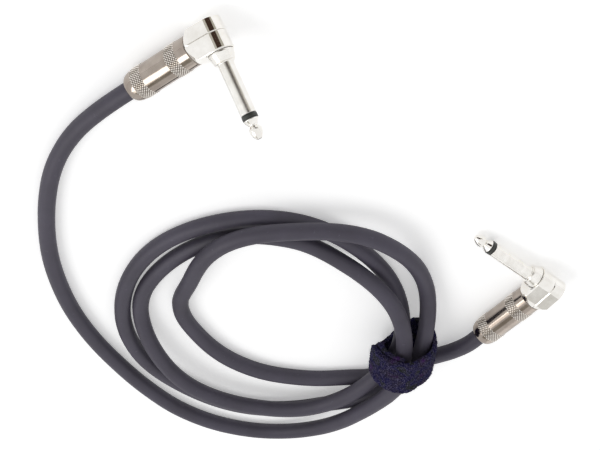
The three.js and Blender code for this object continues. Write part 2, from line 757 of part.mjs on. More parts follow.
const cable = new THREE.Group();
const plugA = makePlug('a', PLUG_A);
const plugB = makePlug('b', PLUG_B);
cable.add(plugA, plugB);

const { line, out0, out1 } = coilLine();
const coilStart = line[0];
const coilEnd = line[line.length - 1];
addPiece(cable, 'cable_coil', sweptTube(line, cableR, COIL_SIDES), jacketRubber);

const leadAEnd = [
  coilStart.clone().addScaledVector(out0, FIT + LEAD_STRAIGHT),
  coilStart.clone().addScaledVector(out0, FIT),
];
const leadAPoints = [...outOf(plugA), ...LEAD_A_ROUTE.map(onTable), ...leadAEnd];
addPiece(cable, 'cable_lead_a', leadTube(leadAPoints), jacketRubber);

const leadBStart = [
  coilEnd.clone().addScaledVector(out1, FIT),
  coilEnd.clone().addScaledVector(out1, FIT + LEAD_STRAIGHT),
];
const leadBPoints = [...leadBStart, ...LEAD_B_ROUTE.map(onTable), ...outOf(plugB).reverse()];
addPiece(cable, 'cable_lead_b', leadTube(leadBPoints), jacketRubber);

const strap = addPiece(cable, 'cable_tie', strapGeometry(), strapCloth);
strap.position.set(...STRAP_CENTRE);
strap.rotation.z = rad(STRAP_TURN);

console.log(`coil: least gap to itself ${leastGap(line, CABLE_D, COIL_APART).toFixed(2)} mm`);

export default cable;
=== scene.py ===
# %% [markdown]
# # Instrument cable
# Two right-angle plugs sit on a metre and a half of screened cable. Three loops of it lie in a coil, and
# a strap of hook-and-loop cloth holds them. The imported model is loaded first: it says where every solid
# lies, so each piece made here goes to the same place, in metres, and rides on the same body.

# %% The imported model
import math
import random

import bmesh
import bpy
from mathutils import Euler, Matrix, Vector, noise
from mathutils.geometry import interpolate_bezier


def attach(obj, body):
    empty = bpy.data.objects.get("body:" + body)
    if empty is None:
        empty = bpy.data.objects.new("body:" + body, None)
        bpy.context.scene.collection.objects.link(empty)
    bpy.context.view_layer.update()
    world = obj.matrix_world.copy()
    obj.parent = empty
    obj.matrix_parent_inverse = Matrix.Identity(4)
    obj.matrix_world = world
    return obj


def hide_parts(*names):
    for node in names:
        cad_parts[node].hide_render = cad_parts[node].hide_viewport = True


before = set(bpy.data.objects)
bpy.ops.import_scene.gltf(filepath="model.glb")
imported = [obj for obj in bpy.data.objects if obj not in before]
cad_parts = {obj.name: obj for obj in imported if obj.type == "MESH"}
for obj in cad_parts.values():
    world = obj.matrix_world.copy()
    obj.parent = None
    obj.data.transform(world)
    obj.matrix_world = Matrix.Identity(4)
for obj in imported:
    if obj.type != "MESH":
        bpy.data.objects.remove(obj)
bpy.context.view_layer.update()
bpy.context.scene.view_settings.view_transform = "Standard"
MM = 0.001

# %% [markdown]
# ## The camera
# The picture looks down at the table from 45 degrees, with a long lens and from the plugs' side. It is
# seen upside down, so the camera is rolled half a turn: the table's +Y points up in the picture.

# %% Camera
CAMERA_TILT = math.radians(45.46)
CAMERA_PLACE = Vector((-0.0245, 0.4171, 0.4485))
LENS_MM = 87.94
SENSOR_MM = 36


def camera_over_table():
    """A camera whose own right is +X, and whose own up is +Y and a share of -Z."""
    data = bpy.data.cameras.new("camera")
    data.lens = LENS_MM
    data.sensor_width = SENSOR_MM
    data.clip_start, data.clip_end = 0.01, 20
    camera = bpy.data.objects.new("camera", data)
    bpy.context.scene.collection.objects.link(camera)
    sin, cos = math.sin(CAMERA_TILT), math.cos(CAMERA_TILT)
    turn = Matrix(((1, 0, 0), (0, sin, cos), (0, -cos, sin)))
    camera.matrix_world = Matrix.Translation(CAMERA_PLACE) @ turn.to_4x4()
    bpy.context.scene.camera = camera
    return camera


camera = camera_over_table()
print("camera at", tuple(round(v, 3) for v in camera.location))

# %% [markdown]
# ## Where the plugs lie
# Both plugs are the same, so each is modelled once in its own millimetres: the barrel along +X and the
# finger along +Z, from the point where the two axes cross. One matrix then takes a finished mesh to its
# place. The heading is the barrel's way over the table, the dip how far it points down, and the lean
# how far the finger is turned about the barrel from upright.

# %% Plug places
PLUGS = {
    "a": {"crossing": (-56.8, 83.44, 9.22), "heading": -141, "dip": 2.42, "lean": -43.45},
    "b": {"crossing": (84.05, -54.57, 6.95), "heading": -128.36, "dip": 0, "lean": 94.8},
}


def plug_turn(letter):
    plug = PLUGS[letter]
    return Euler([math.radians(plug[key]) for key in ("lean", "dip", "heading")], "XYZ")


def plug_place(letter):
    """From a plug's own millimetres to the table's metres."""
    move = Matrix.Translation(Vector(PLUGS[letter]["crossing"]) * MM)
    return move @ plug_turn(letter).to_matrix().to_4x4() @ Matrix.Scale(MM, 4)


for letter in PLUGS:
    barrel_way = plug_place(letter).to_3x3() @ Vector((1000, 0, 0))
    print("plug", letter, "barrel points", tuple(round(v, 3) for v in barrel_way))

# %% [markdown]
# ## The cable
# A cable is one fixed length of something springy, so it is drawn first, as one smooth line from the first
# plug to the other. The line passes through listed points, and each is given by its place on the table and
# its lift above lying flat. In the coil the points come from a loop: every 30 degrees there is a reach from
# the coil's middle and a lift, and the curve between them never dips under its neighbours.

# %% Cable route
CABLE_D = 7.5
TABLE_GAP = 0.1
STUB_END_X = 40.4  # where the jacket ends inside the barrel's mouth, along the plug
MOUTH_X = 42.0
FIT = 0.3
STRAIGHT = 8.0  # straight run out of a plug or the coil
LINE_STEP = 2.5

LEAD_A_ROUTE = [
    (-105, 43, 1.7), (-113.5, 33.5, 0.5), (-120.5, 23, 0), (-126, 11, 0), (-130, -4, 0), (-132.5, -22, 0),
    (-133, -40, 0), (-131, -58, 0), (-127, -75, 0), (-120, -93, 0), (-110.5, -110.5, 0), (-98, -129, 0),
    (-83.5, -145, 0), (-66, -156.5, 0), (-47, -162.5, 0), (-30, -161.8, 1.1), (-15, -154.5, 4.4),
    (-4.5, -144.6, 8.2), (3.6, -134.2, 11.4), (11, -123.5, 14.3), (16.8, -113.4, 16.8),
]
LEAD_B_ROUTE = [(16, -117.2, 0), (24, -112.4, 0), (32, -108.8, 0), (39, -105.8, 0.2), (46, -101.2, 1.3)]

COIL_CENTRE = (-38, -80)
COIL_FIRST_ANGLE = -11
STATIONS_PER_LOOP = 12
COIL_START, COIL_END = 0.12, 34.55
COIL_POINTS_PER_STATION = 10
REACHES = [
    60.5, 58.5, 51.5, 52, 55, 57, 59, 56, 56, 57, 60, 57.5,
    60, 59, 59.5, 62.5, 64.5, 67, 67, 66, 63.5, 65, 66.5, 69,
    68.5, 73, 74, 65, 59.5, 46, 41, 35, 34, 37, 44.5, 60, 86,
]
LIFTS = [
    16.8, 11.8, 3.8, 0.5, 0, 0, 0, 4.3, 5.9, 5.9, 6.1, 8.6,
    5.8, 0, 0, 0, 0, 0, 0, 0, 0, 0, 0, 5.9,
    12.1, 1.8, 7.3, 8.4, 9.2, 5.9, 0.3, 0, 0, 0, 0, 0, 0,
]
print("leads:", len(LEAD_A_ROUTE), "and", len(LEAD_B_ROUTE), "points; coil:", len(REACHES), "stations")

# %% [markdown]
# Between its listed points a lead follows a centripetal curve. That passes through every point and makes no
# loop where they lie unevenly. Blender's own Bezier function fills in each stretch of it.

# %% The curve of a lead
def on_table(x, y, lift):
    return Vector((x, y, CABLE_D / 2 + TABLE_GAP + lift))


def smooth_run(points):
    """Points every few millimetres on the centripetal curve through the given ones."""
    ends = [2 * points[0] - points[1], *points, 2 * points[-1] - points[-2]]
    line = [points[0]]
    for before, start, end, after in zip(ends, ends[1:], ends[2:], ends[3:]):
        d0, d1, d2 = (math.sqrt((q - p).length) for p, q in ((before, start), (start, end), (end, after)))
        leaving = ((start - before) / d0 - (end - before) / (d0 + d1) + (end - start) / d1) * d1
        arriving = ((end - start) / d1 - (after - start) / (d1 + d2) + (after - end) / d2) * d1
        count = max(2, round((end - start).length / LINE_STEP) + 1)
        line += interpolate_bezier(start, start + leaving / 3, end - arriving / 3, end, count)[1:]
    return line


print("the long lead in", len(smooth_run([on_table(*place) for place in LEAD_A_ROUTE])), "points")

# %% [markdown]
# In the coil the reach runs smoothly through four neighbouring stations at a time, so a loop has no
# corners. The lift is stricter. It is level at every crest and hollow, so that a strand which crosses
# another doesn't sink into it on the way.

# %% The curve of the coil
def eased(share):
    """From 0 to 1 with a level start and end. Outside them it stays at 0 or at 1."""
    u = min(max(share, 0), 1)
    return u * u * (3 - 2 * u)


def station(table, i):
    return table[min(max(i, 0), len(table) - 1)]


def reach_at(t):
    i = min(int(t), len(REACHES) - 2)
    u = t - i
    p0, p1, p2, p3 = (station(REACHES, k) for k in range(i - 1, i + 3))
    bend = 2 * p0 - 5 * p1 + 4 * p2 - p3
    return 0.5 * (2 * p1 + (p2 - p0) * u + bend * u**2 + (3 * p1 - p0 - 3 * p2 + p3) * u**3)


def lift_slope(i):
    """Level at every crest and hollow, so that the line between two stations stays between them."""
    before = station(LIFTS, i) - station(LIFTS, i - 1)
    after = station(LIFTS, i + 1) - station(LIFTS, i)
    return 2 * before * after / (before + after) if before * after > 0 else 0


def lift_at(t):
    i = min(int(t), len(LIFTS) - 2)
    u = t - i
    rise = eased(u)
    ends = LIFTS[i] * (1 - rise) + LIFTS[i + 1] * rise
    return ends + lift_slope(i) * u * (1 - u) ** 2 - lift_slope(i + 1) * u * u * (1 - u)


def coil_point(t):
    angle = math.radians(COIL_FIRST_ANGLE + 360 / STATIONS_PER_LOOP * t)
    x = COIL_CENTRE[0] + reach_at(t) * math.cos(angle)
    y = COIL_CENTRE[1] + reach_at(t) * math.sin(angle)
    return on_table(x, y, lift_at(t))


print("the coil starts at", [round(v, 1) for v in coil_point(COIL_START)], "mm")

# %% [markdown]
# The line starts inside one plug's mouth and ends inside the other's. A clamp holds the cable there, so
# it runs straight for 8 mm before it may bend. It does so too where the leads meet the coil.

# %% The whole line
def stub_points(letter):
    """Inside the mouth of a plug, and a straight run past it."""
    place = Matrix.Scale(1 / MM, 4) @ plug_place(letter)
    return [place @ Vector((STUB_END_X + FIT, 0, 0)), place @ Vector((MOUTH_X + STRAIGHT, 0, 0))]


def cable_line():
    """The middle of the whole cable, from plug a to plug b, in mm."""
    count = round((COIL_END - COIL_START) * COIL_POINTS_PER_STATION)
    coil = [coil_point(COIL_START + (COIL_END - COIL_START) * k / count) for k in range(count + 1)]
    into = (coil[0] - coil[1]).normalized()
    out = (coil[-1] - coil[-2]).normalized()
    coil_in = [coil[0] + into * (FIT + 2 * STRAIGHT), coil[0] + into * (FIT + STRAIGHT)]
    coil_out = [coil[-1] + out * (FIT + STRAIGHT), coil[-1] + out * (FIT + 2 * STRAIGHT)]
    lead_a = smooth_run([*stub_points("a"), *(on_table(*p) for p in LEAD_A_ROUTE), *coil_in])
    lead_b = smooth_run([*coil_out, *(on_table(*p) for p in LEAD_B_ROUTE), *reversed(stub_points("b"))])
    return lead_a + coil + lead_b


cable_points = cable_line()

# %% [markdown]
# The jacket is a round tube of plastic, pressed out hot in one pass. A curve with a round bevel is just
# that: one line and one thickness.

# %% Cable piece
CABLE_SIDES_PER_QUARTER = 6
CUT_END_ANGLE = math.radians(60)  # only the cut ends meet the jacket at a sharper angle


def cable_along(points):
    data = bpy.data.curves.new("cable_line", "CURVE")
    data.dimensions = "3D"
    data.bevel_depth = CABLE_D / 2 * MM
    data.bevel_resolution = CABLE_SIDES_PER_QUARTER
    data.use_fill_caps = True
    spline = data.splines.new("POLY")
    spline.points.add(len(points) - 1)
    for point, place in zip(spline.points, points):
        point.co = (*(place * MM), 1)
    line = bpy.data.objects.new("cable_line", data)
    bpy.context.scene.collection.objects.link(line)
    mesh = bpy.data.meshes.new_from_object(line)
    bpy.data.objects.remove(line)
    bpy.data.curves.remove(data)
    mesh.polygons.foreach_set("use_smooth", [True] * len(mesh.polygons))
    mesh.set_sharp_from_angle(angle=CUT_END_ANGLE)
    piece = bpy.data.objects.new("cable", mesh)
    bpy.context.scene.collection.objects.link(piece)
    return piece


cable = cable_along(cable_points)
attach(cable, "root")
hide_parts("cable_lead_a", "cable_coil", "cable_lead_b")
print("jacket:", len(cable.data.polygons), "faces")

# %% [markdown]
# ## Colours and nodes
# A colour is written as a designer picks it, as an sRGB hex value, and turned to the linear light that a
# shader works in. A material is a small graph, so one helper adds a node with its settings and links.

# %% Colour and node helpers
def linear(hex_code):
    shares = [int(hex_code[i : i + 2], 16) / 255 for i in (1, 3, 5)]
    return (*((s / 12.92 if s <= 0.04045 else ((s + 0.055) / 1.055) ** 2.4) for s in shares), 1.0)


def add_node(tree, kind, values=None, links=None, stops=(), **settings):
    """One node. A colour ramp also takes its stops, as (place, hex) pairs."""
    node = tree.nodes.new(kind)
    for key, value in settings.items():
        setattr(node, key, value)
    for socket, value in (values or {}).items():
        node.inputs[socket].default_value = value
    for socket, source in (links or {}).items():
        tree.links.new(source, node.inputs[socket])
    if stops:
        band = node.color_ramp
        while len(band.elements) < len(stops):
            band.elements.new(1)
        for element, (at, colour) in zip(band.elements, stops):
            element.position = at
            element.color = linear(colour)
    return node


print("white is", tuple(round(v, 2) for v in linear("#FFFFFF")))

# %% [markdown]
# A pattern's size is easiest to think of in millimetres, and on a plug it should follow the plug and not
# the table. One helper turns Object coordinates to that. Every finish ends alike, with a colour, a
# roughness and a relief for the shader, so another helper lays them on.

# %% Material helpers
def new_material(name, **constants):
    """A material with one Principled shader, whose plain numbers are set on its own sockets."""
    material = bpy.data.materials.new(name)
    material.use_nodes = True
    tree = material.node_tree
    shader = tree.nodes["Principled BSDF"]
    for socket, value in constants.items():
        shader.inputs[socket.replace("_", " ")].default_value = value
    return material, tree, shader


def object_mm(tree, letter=None):
    """Object coordinates in mm. With a letter they are the plug's own: barrel +X, finger +Z."""
    source = add_node(tree, "ShaderNodeTexCoord").outputs["Object"]
    place = {"Scale": (MM, MM, MM)}
    if letter:
        place["Location"] = Vector(PLUGS[letter]["crossing"]) * MM
        place["Rotation"] = plug_turn(letter)
    return add_node(
        tree, "ShaderNodeMapping", place, {"Vector": source}, vector_type="TEXTURE"
    ).outputs["Vector"]


def lay_on(tree, shader, colour, roughness=None, relief=None, strength=1.0, depth=0.0):
    """Links a finish to its shader. The relief is a bump of the given depth, in mm."""
    tree.links.new(colour, shader.inputs["Base Color"])
    if roughness is not None:
        tree.links.new(roughness, shader.inputs["Roughness"])
    if relief is not None:
        bump = add_node(
            tree, "ShaderNodeBump", {"Strength": strength, "Distance": depth * MM}, {"Height": relief}
        )
        tree.links.new(bump.outputs["Normal"], shader.inputs["Normal"])


sample = new_material("sample")[0]
print("a new material starts with", [node.name for node in sample.node_tree.nodes])
bpy.data.materials.remove(sample)

# %% [markdown]
# ## Nickel plate, polished
# The head and the finger are turned brass, buffed and plated with bright nickel. That gives the eye a
# mirror with a slight warm cast, broken only by faint buffing waves and by a little haze where it is
# handled. The colour and the roughness barely move, and a low bump bends the reflections. The sleeve of
# the finger is rubbed by every jack it enters, so its plate is rougher and blurs what it mirrors.

# %% Polished nickel plate
NICKEL_ROUGHNESS = {"buffed": (0.04, 0.1), "rubbed": (0.2, 0.26)}


def polished_nickel_plate(finish, letter):
    material, tree, shader = new_material(finish + "_nickel_plate_" + letter, Metallic=1.0)
    place = object_mm(tree, letter)
    haze = add_node(tree, "ShaderNodeTexNoise", {"Scale": 0.22, "Detail": 4.0}, {"Vector": place})
    haze = haze.outputs["Fac"]
    buffing = add_node(tree, "ShaderNodeTexNoise", {"Scale": 0.5, "Detail": 2.0}, {"Vector": place})
    colour = add_node(
        tree, "ShaderNodeValToRGB", links={"Fac": haze}, stops=[(0.3, "#E8E5DF"), (0.7, "#F6F4F0")]
    )
    low, high = NICKEL_ROUGHNESS[finish]
    wear = add_node(tree, "ShaderNodeMapRange", {"To Min": low, "To Max": high}, {"Value": haze})
    lay_on(tree, shader, colour.outputs["Color"], wear.outputs["Result"], buffing.outputs["Fac"], 0.15, 0.04)
    return material


print("roughness of the plate:", NICKEL_ROUGHNESS)

# %% [markdown]
# ## Nickel plate, turned
# The barrel is left as it comes from the lathe, under a thinner and warmer plate. The tool leaves rings round
# it, about 0.1 mm apart, too fine to show from here, so they are drawn 0.4 mm apart. They stretch each
# reflection along the barrel. The knurled bands carry a number at each point, 1 on the floor of a groove and
# 0 on a diamond's point. Where that number is high the plate is painted darker, as painted shade in the
# grooves with some dirt. Where it is low the plate is painted brighter, as a painted highlight on the points
# with some wear from fingers.

# %% Turned nickel plate
RING_SPACING = 0.4  # mm
GROOVE_ON_PLAIN = 0.7  # the number on the parts with no knurl
KNURL_SHADE_AND_HIGHLIGHT = {
    "#453C34": [(GROOVE_ON_PLAIN, "#000000"), (1.0, "#FFFFFF")],  # painted shade on the groove's floor, partly dirt
    "#FFFBF4": [(0.3, "#FFFFFF"), (GROOVE_ON_PLAIN, "#000000")],  # painted highlight on the diamond points, partly rubbed wear
}


def turned_nickel_plate(letter):
    material, tree, shader = new_material("turned_nickel_plate_" + letter, Metallic=1.0)
    place = object_mm(tree, letter)
    along = add_node(
        tree, "ShaderNodeMapping", {"Scale": (1 / RING_SPACING, 0.02, 0.02)}, {"Vector": place}
    ).outputs["Vector"]
    rings = add_node(tree, "ShaderNodeTexNoise", {"Scale": 1.0, "Detail": 2.0}, {"Vector": along})
    haze = add_node(tree, "ShaderNodeTexNoise", {"Scale": 0.18, "Detail": 5.0}, {"Vector": place})
    haze = haze.outputs["Fac"]
    colour = add_node(
        tree, "ShaderNodeValToRGB", links={"Fac": haze}, stops=[(0.3, "#968B82"), (0.7, "#ACA299")]
    ).outputs["Color"]
    groove = add_node(tree, "ShaderNodeAttribute", attribute_name="groove").outputs["Fac"]
    # The groove number paints shade into the grooves and a highlight onto the diamond points.
    for tint, stops in KNURL_SHADE_AND_HIGHLIGHT.items():
        share = add_node(tree, "ShaderNodeValToRGB", links={"Fac": groove}, stops=stops).outputs["Color"]
        colour = add_node(
            tree, "ShaderNodeMix", {"B": linear(tint)}, {"Factor": share, "A": colour}, data_type="RGBA"
        ).outputs["Result"]
    wear = add_node(tree, "ShaderNodeMapRange", {"To Min": 0.1, "To Max": 0.17}, {"Value": haze})
    lay_on(tree, shader, colour, wear.outputs["Result"], rings.outputs["Fac"], 0.12, 0.03)
    return material


print("lathe rings every", RING_SPACING, "mm, knurl tints:", list(KNURL_SHADE_AND_HIGHLIGHT))

# %% [markdown]
# ## Acetal, and the pieces inside
# The ring between the sleeve and the tip is cut from dark acetal. The liner, the chuck and the washers
# are moulded from the same plastic. The solder lug is stamped brass, the screen is tinned copper strands,
# and the core's insulation is pale polyethylene. Inner pieces show only when the barrel is drawn back.

# %% Plastics and inner metals
def moulded_plastic(name, dark, light, roughness):
    """A moulded or turned plastic: a faint cloud of colour, and a fine grain from the tool."""
    material, tree, shader = new_material(name, IOR=1.48)
    place = object_mm(tree)
    cloud = add_node(tree, "ShaderNodeTexNoise", {"Scale": 0.6, "Detail": 4.0}, {"Vector": place})
    cloud = cloud.outputs["Fac"]
    grain = add_node(tree, "ShaderNodeTexNoise", {"Scale": 5.0, "Detail": 2.0}, {"Vector": place})
    colour = add_node(tree, "ShaderNodeValToRGB", links={"Fac": cloud}, stops=[(0.3, dark), (0.7, light)])
    spread = {"To Min": roughness - 0.06, "To Max": roughness + 0.06}
    wear = add_node(tree, "ShaderNodeMapRange", spread, {"Value": cloud})
    lay_on(tree, shader, colour.outputs["Color"], wear.outputs["Result"], grain.outputs["Fac"], 0.25, 0.03)
    return material


def drawn_metal(name, dark, light, roughness):
    """Stamped or drawn metal, dulled in patches by handling and solder."""
    material, tree, shader = new_material(name, Metallic=1.0)
    place = object_mm(tree)
    cloud = add_node(tree, "ShaderNodeTexNoise", {"Scale": 1.2, "Detail": 5.0}, {"Vector": place})
    cloud = cloud.outputs["Fac"]
    colour = add_node(tree, "ShaderNodeValToRGB", links={"Fac": cloud}, stops=[(0.3, dark), (0.7, light)])
    spread = {"To Min": roughness - 0.08, "To Max": roughness + 0.12}
    wear = add_node(tree, "ShaderNodeMapRange", spread, {"Value": cloud})
    lay_on(tree, shader, colour.outputs["Color"], wear.outputs["Result"])
    return material


acetal = moulded_plastic("dark_acetal", "#2B2D29", "#3B3D38", 0.34)
liner_plastic = moulded_plastic("moulded_liner_plastic", "#222223", "#2E2E30", 0.5)
core_insulation = moulded_plastic("polyethylene_core", "#D2CCBE", "#E2DED2", 0.38)
stamped_brass = drawn_metal("stamped_brass", "#B4944C", "#CFB26A", 0.3)
tinned_strands = drawn_metal("tinned_copper_strands", "#A08D78", "#C2B29C", 0.4)
print("materials so far:", len(bpy.data.materials))

# %% [markdown]
# ## The jacket
# It is soft PVC in charcoal with a matt skin. The die leaves a fine grain, and a year on stage floors
# leaves paler scuffs. The grain is under 0.1 mm on the real jacket, and is drawn 0.35 mm wide here so
# that it shows. A print that such a jacket may carry is left off.

# %% Jacket material
def matt_jacket():
    material, tree, shader = new_material("matt_pvc_jacket", IOR=1.5)
    place = object_mm(tree)
    cloud = add_node(tree, "ShaderNodeTexNoise", {"Scale": 0.05, "Detail": 3.0}, {"Vector": place})
    scuffs = add_node(
        tree, "ShaderNodeTexNoise", {"Scale": 0.35, "Detail": 8.0, "Roughness": 0.7}, {"Vector": place}
    ).outputs["Fac"]
    grain = add_node(tree, "ShaderNodeTexNoise", {"Scale": 2.8, "Detail": 3.0}, {"Vector": place})
    plain = add_node(
        tree, "ShaderNodeValToRGB", links={"Fac": cloud.outputs["Fac"]},
        stops=[(0.3, "#3C3844"), (0.7, "#474351")],
    ).outputs["Color"]
    worn = add_node(
        tree, "ShaderNodeValToRGB", links={"Fac": scuffs}, stops=[(0.62, "#000000"), (0.8, "#FFFFFF")]
    ).outputs["Color"]
    colour = add_node(
        tree, "ShaderNodeMix", {"B": linear("#5D5968")}, {"Factor": worn, "A": plain}, data_type="RGBA"
    ).outputs["Result"]
    wear = add_node(tree, "ShaderNodeMapRange", {"To Min": 0.5, "To Max": 0.68}, {"Value": scuffs})
    lay_on(tree, shader, colour, wear.outputs["Result"], grain.outputs["Fac"], 0.35, 0.06)
    return material


jacket = matt_jacket()
cable.data.materials.append(jacket)
print("jacket on", cable.name)

# %% [markdown]
# ## The strap's cloth
# One face of the strap is brushed nylon loops, dyed near black. The loops catch light at their tips, so the
# cloth has a blue and violet bloom and no highlight: sheen gives that, over a rough dark base with a deep
# fine bump. The base colour is also painted paler on the loop tips, as a painted sheen that follows the bump.
# Loops are about 0.4 mm apart.

# %% Strap material
def brushed_loop_cloth():
    material, tree, shader = new_material(
        "brushed_nylon_loops", Roughness=0.95, IOR=1.45, Sheen_Weight=0.15, Sheen_Roughness=0.4,
        Sheen_Tint=linear("#5A5488"), Specular_IOR_Level=0.1,
    )
    place = object_mm(tree)
    patches = add_node(tree, "ShaderNodeTexNoise", {"Scale": 0.12, "Detail": 3.0}, {"Vector": place})
    loops = add_node(tree, "ShaderNodeTexNoise", {"Scale": 1.8, "Detail": 4.0}, {"Vector": place})
    loops = loops.outputs["Fac"]
    dye = add_node(
        tree, "ShaderNodeValToRGB", links={"Fac": patches.outputs["Fac"]},
        stops=[(0.36, "#222422"), (0.43, "#16133E"), (0.5, "#1E1A32"), (0.57, "#25202E"), (0.66, "#37164C")],
    ).outputs["Color"]
    # Painted sheen: the loop tips, where the bump is high, are painted a paler grey-violet.
    painted_sheen_tips = add_node(
        tree, "ShaderNodeValToRGB", links={"Fac": loops}, stops=[(0.5, "#000000"), (0.66, "#FFFFFF")]
    ).outputs["Color"]
    colour = add_node(
        tree, "ShaderNodeMix", {"B": linear("#56526C")}, {"Factor": painted_sheen_tips, "A": dye}, data_type="RGBA"
    ).outputs["Result"]
    lay_on(tree, shader, colour, relief=loops, strength=0.8, depth=0.4)
    return material


strap_cloth = brushed_loop_cloth()
print("cloth:", strap_cloth.name, "with", len(strap_cloth.node_tree.nodes), "nodes")

# %% [markdown]
# ## Turning a piece
# Sleeve, ring, tip and barrel all come off a lathe, so each is a profile of (radius, place) that is spun
# once round its axis. The spin closes on its own start, and the points on the axis are merged.

# %% Turn a profile
TURN_STEPS = 96
MERGE_WITHIN = 1e-4


def turned(profile, axis="Z", steps=TURN_STEPS):
    """A closed solid of revolution about the plug's X or Z axis, in mm."""
    along, outward = Vector((0, 0, 1)), Vector((1, 0, 0))
    if axis == "X":
        along, outward = outward, along
    bm = bmesh.new()
    verts = [bm.verts.new(outward * r + along * place) for r, place in profile]
    edges = [bm.edges.new(pair) for pair in zip(verts, verts[1:])]
    if profile[0][0] > 0:
        edges.append(bm.edges.new((verts[-1], verts[0])))
    bmesh.ops.spin(
        bm, geom=verts + edges, cent=(0, 0, 0), axis=along, dvec=(0, 0, 0), angle=2 * math.pi,
        steps=steps, use_merge=True, use_duplicate=False,
    )
    bmesh.ops.remove_doubles(bm, verts=bm.verts, dist=MERGE_WITHIN)
    bmesh.ops.recalc_face_normals(bm, faces=bm.faces)
    return bm


print("a full turn in", TURN_STEPS, "steps")

# %% [markdown]
# Sharp rims get a small bevel, because a real edge always catches a thread of light. A mirror shows every
# wrong normal, so the broad faces lead when the normals at a bevel are averaged. A finished piece's place
# goes into its mesh, and its object stays at the origin, so that no pattern slides on it. Each piece rides on
# its body and gets its finish, and the imported solid that it stands for is hidden.

# %% Finish and set a piece
SMOOTH_BELOW = math.radians(32)


def soften(bm, width, sharper_than=30, only=None):
    """A small bevel along the sharp rims."""
    rims = [
        edge
        for edge in bm.edges
        if edge.is_manifold
        and edge.calc_face_angle() > math.radians(sharper_than)
        and (only is None or only(edge))
    ]
    bmesh.ops.bevel(
        bm, geom=rims, offset=width, offset_type="OFFSET", affect="EDGES", segments=2, profile=0.5,
        material=-1, clamp_overlap=True,
    )
    return bm


def object_from(bm, name):
    """An object of the scene from a finished bmesh, which is used up."""
    mesh = bpy.data.meshes.new(name)
    bm.to_mesh(mesh)
    bm.free()
    made = bpy.data.objects.new(name, mesh)
    bpy.context.scene.collection.objects.link(made)
    return made


def set_piece(bm, name, material, body, node, place, hard=True):
    """Puts a finished bmesh in its place as a piece that stands for a solid and rides on its body."""
    bm.transform(place)
    piece = object_from(bm, name)
    mesh = piece.data
    mesh.materials.append(material)
    mesh.polygons.foreach_set("use_smooth", [True] * len(mesh.polygons))
    mesh.set_sharp_from_angle(angle=SMOOTH_BELOW)
    if hard:
        piece.modifiers.new("broad_faces_lead", "WEIGHTED_NORMAL").keep_sharp = True
    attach(piece, body)
    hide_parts(node)
    return piece


def try_out(*makers):
    """Makes each shape once, and prints its size and whether it is closed."""
    for make in makers:
        sample = make()
        closed = all(edge.is_manifold for edge in sample.edges)
        print(make.__name__, "has", len(sample.faces), "faces, closed:", closed)
        sample.free()


print("faces that meet at less than", round(math.degrees(SMOOTH_BELOW)), "degrees are shaded as one")

# %% [markdown]
# ## The finger
# A 6.35 mm phone plug: a hollow sleeve, a dark insulating ring and a spear tip. The sleeve starts in a
# collar that is drawn in towards the finger. The tip is a cone down to a neck and a ball with a small
# nose: the jack's spring drops into that neck and holds the plug. The tip's rod runs back into the head.

# %% Finger sizes
FINGER_D, FINGER_BORE_D = 6.35, 4.8
SLEEVE_END, RING_LENGTH, TIP_END = 32.5, 1.6, 42.6
RIVET_Z, RIVET_TOP_Z, RIVET_D, SHANK_D = 4.2, 4.8, 7.8, 6.2
COLLAR_Z, COLLAR_LENGTH, COLLAR_BASE_D, COLLAR_TOP_D, COLLAR_RIM = 7.1, 3.9, 10.4, 8.4, 0.7
COLLAR_FOOT_Z = 6.9  # the collar's underside, just clear of the head's bead
ROD_D, ROD_RIVET_D, ROD_RIVET_Z, ROD_RIVET_LENGTH = 2.0, 3.6, 1.5, 0.6
TIP_BASE_D, TIP_NECK_D, TIP_HEAD_D, TIP_NOSE_R, TIP_BULGE_R = 6.0, 3.5, 5.3, 0.9, 5.2


def arc(centre_r, centre_z, radius, start, end, count):
    """Points of a profile on a circle, by angles in degrees from the outward direction."""
    turns = [math.radians(start + (end - start) * k / count) for k in range(count + 1)]
    return [(centre_r + radius * math.cos(t), centre_z + radius * math.sin(t)) for t in turns]


print("finger:", FINGER_D, "mm thick,", round(TIP_END - COLLAR_Z - COLLAR_LENGTH, 1), "mm from its collar")

# %% [markdown]
# The edges of these small pieces are short arcs in the profile, and not a bevel put on later. So each has
# the radius that its tool leaves, and the collar's edges draw the bright lines that tell it is turned.

# %% Sleeve and collar
def finger_sleeve():
    top = COLLAR_Z + COLLAR_LENGTH
    base_r, top_r = COLLAR_BASE_D / 2, COLLAR_TOP_D / 2
    return turned([
        (FINGER_BORE_D / 2, RIVET_Z),
        (RIVET_D / 2, RIVET_Z),
        (RIVET_D / 2, RIVET_TOP_Z),
        (SHANK_D / 2, RIVET_TOP_Z),
        (SHANK_D / 2, COLLAR_FOOT_Z),
        *arc(base_r - 0.15, COLLAR_FOOT_Z + 0.15, 0.15, -90, 0, 3),
        *arc(base_r - 0.2, COLLAR_Z + COLLAR_RIM - 0.2, 0.2, 0, 70, 3),
        *arc(top_r - 0.3, top - 0.45, 0.45, 15, 90, 5),
        (FINGER_D / 2 + 0.35, top),
        *arc(FINGER_D / 2 + 0.35, top + 0.35, 0.35, -90, -180, 4),
        *arc(FINGER_D / 2 - 0.12, SLEEVE_END - 0.12, 0.12, 0, 90, 3),
        (FINGER_BORE_D / 2, SLEEVE_END),
    ])


try_out(finger_sleeve)

# %% [markdown]
# The ring keeps the sleeve and the tip apart, and the rod passes through it. The spear tip is one piece
# with that rod, and its ball is two arcs, a wide one for the bulge and a small one for the nose.

# %% Ring and tip
def insulating_ring():
    foot = SLEEVE_END + FIT
    return turned([
        (ROD_D / 2 + FIT, foot),
        *arc(FINGER_D / 2 - 0.13, foot + 0.08, 0.08, -90, 0, 2),
        *arc(FINGER_D / 2 - 0.13, foot + RING_LENGTH - 0.08, 0.08, 0, 90, 2),
        (ROD_D / 2 + FIT, foot + RING_LENGTH),
    ])


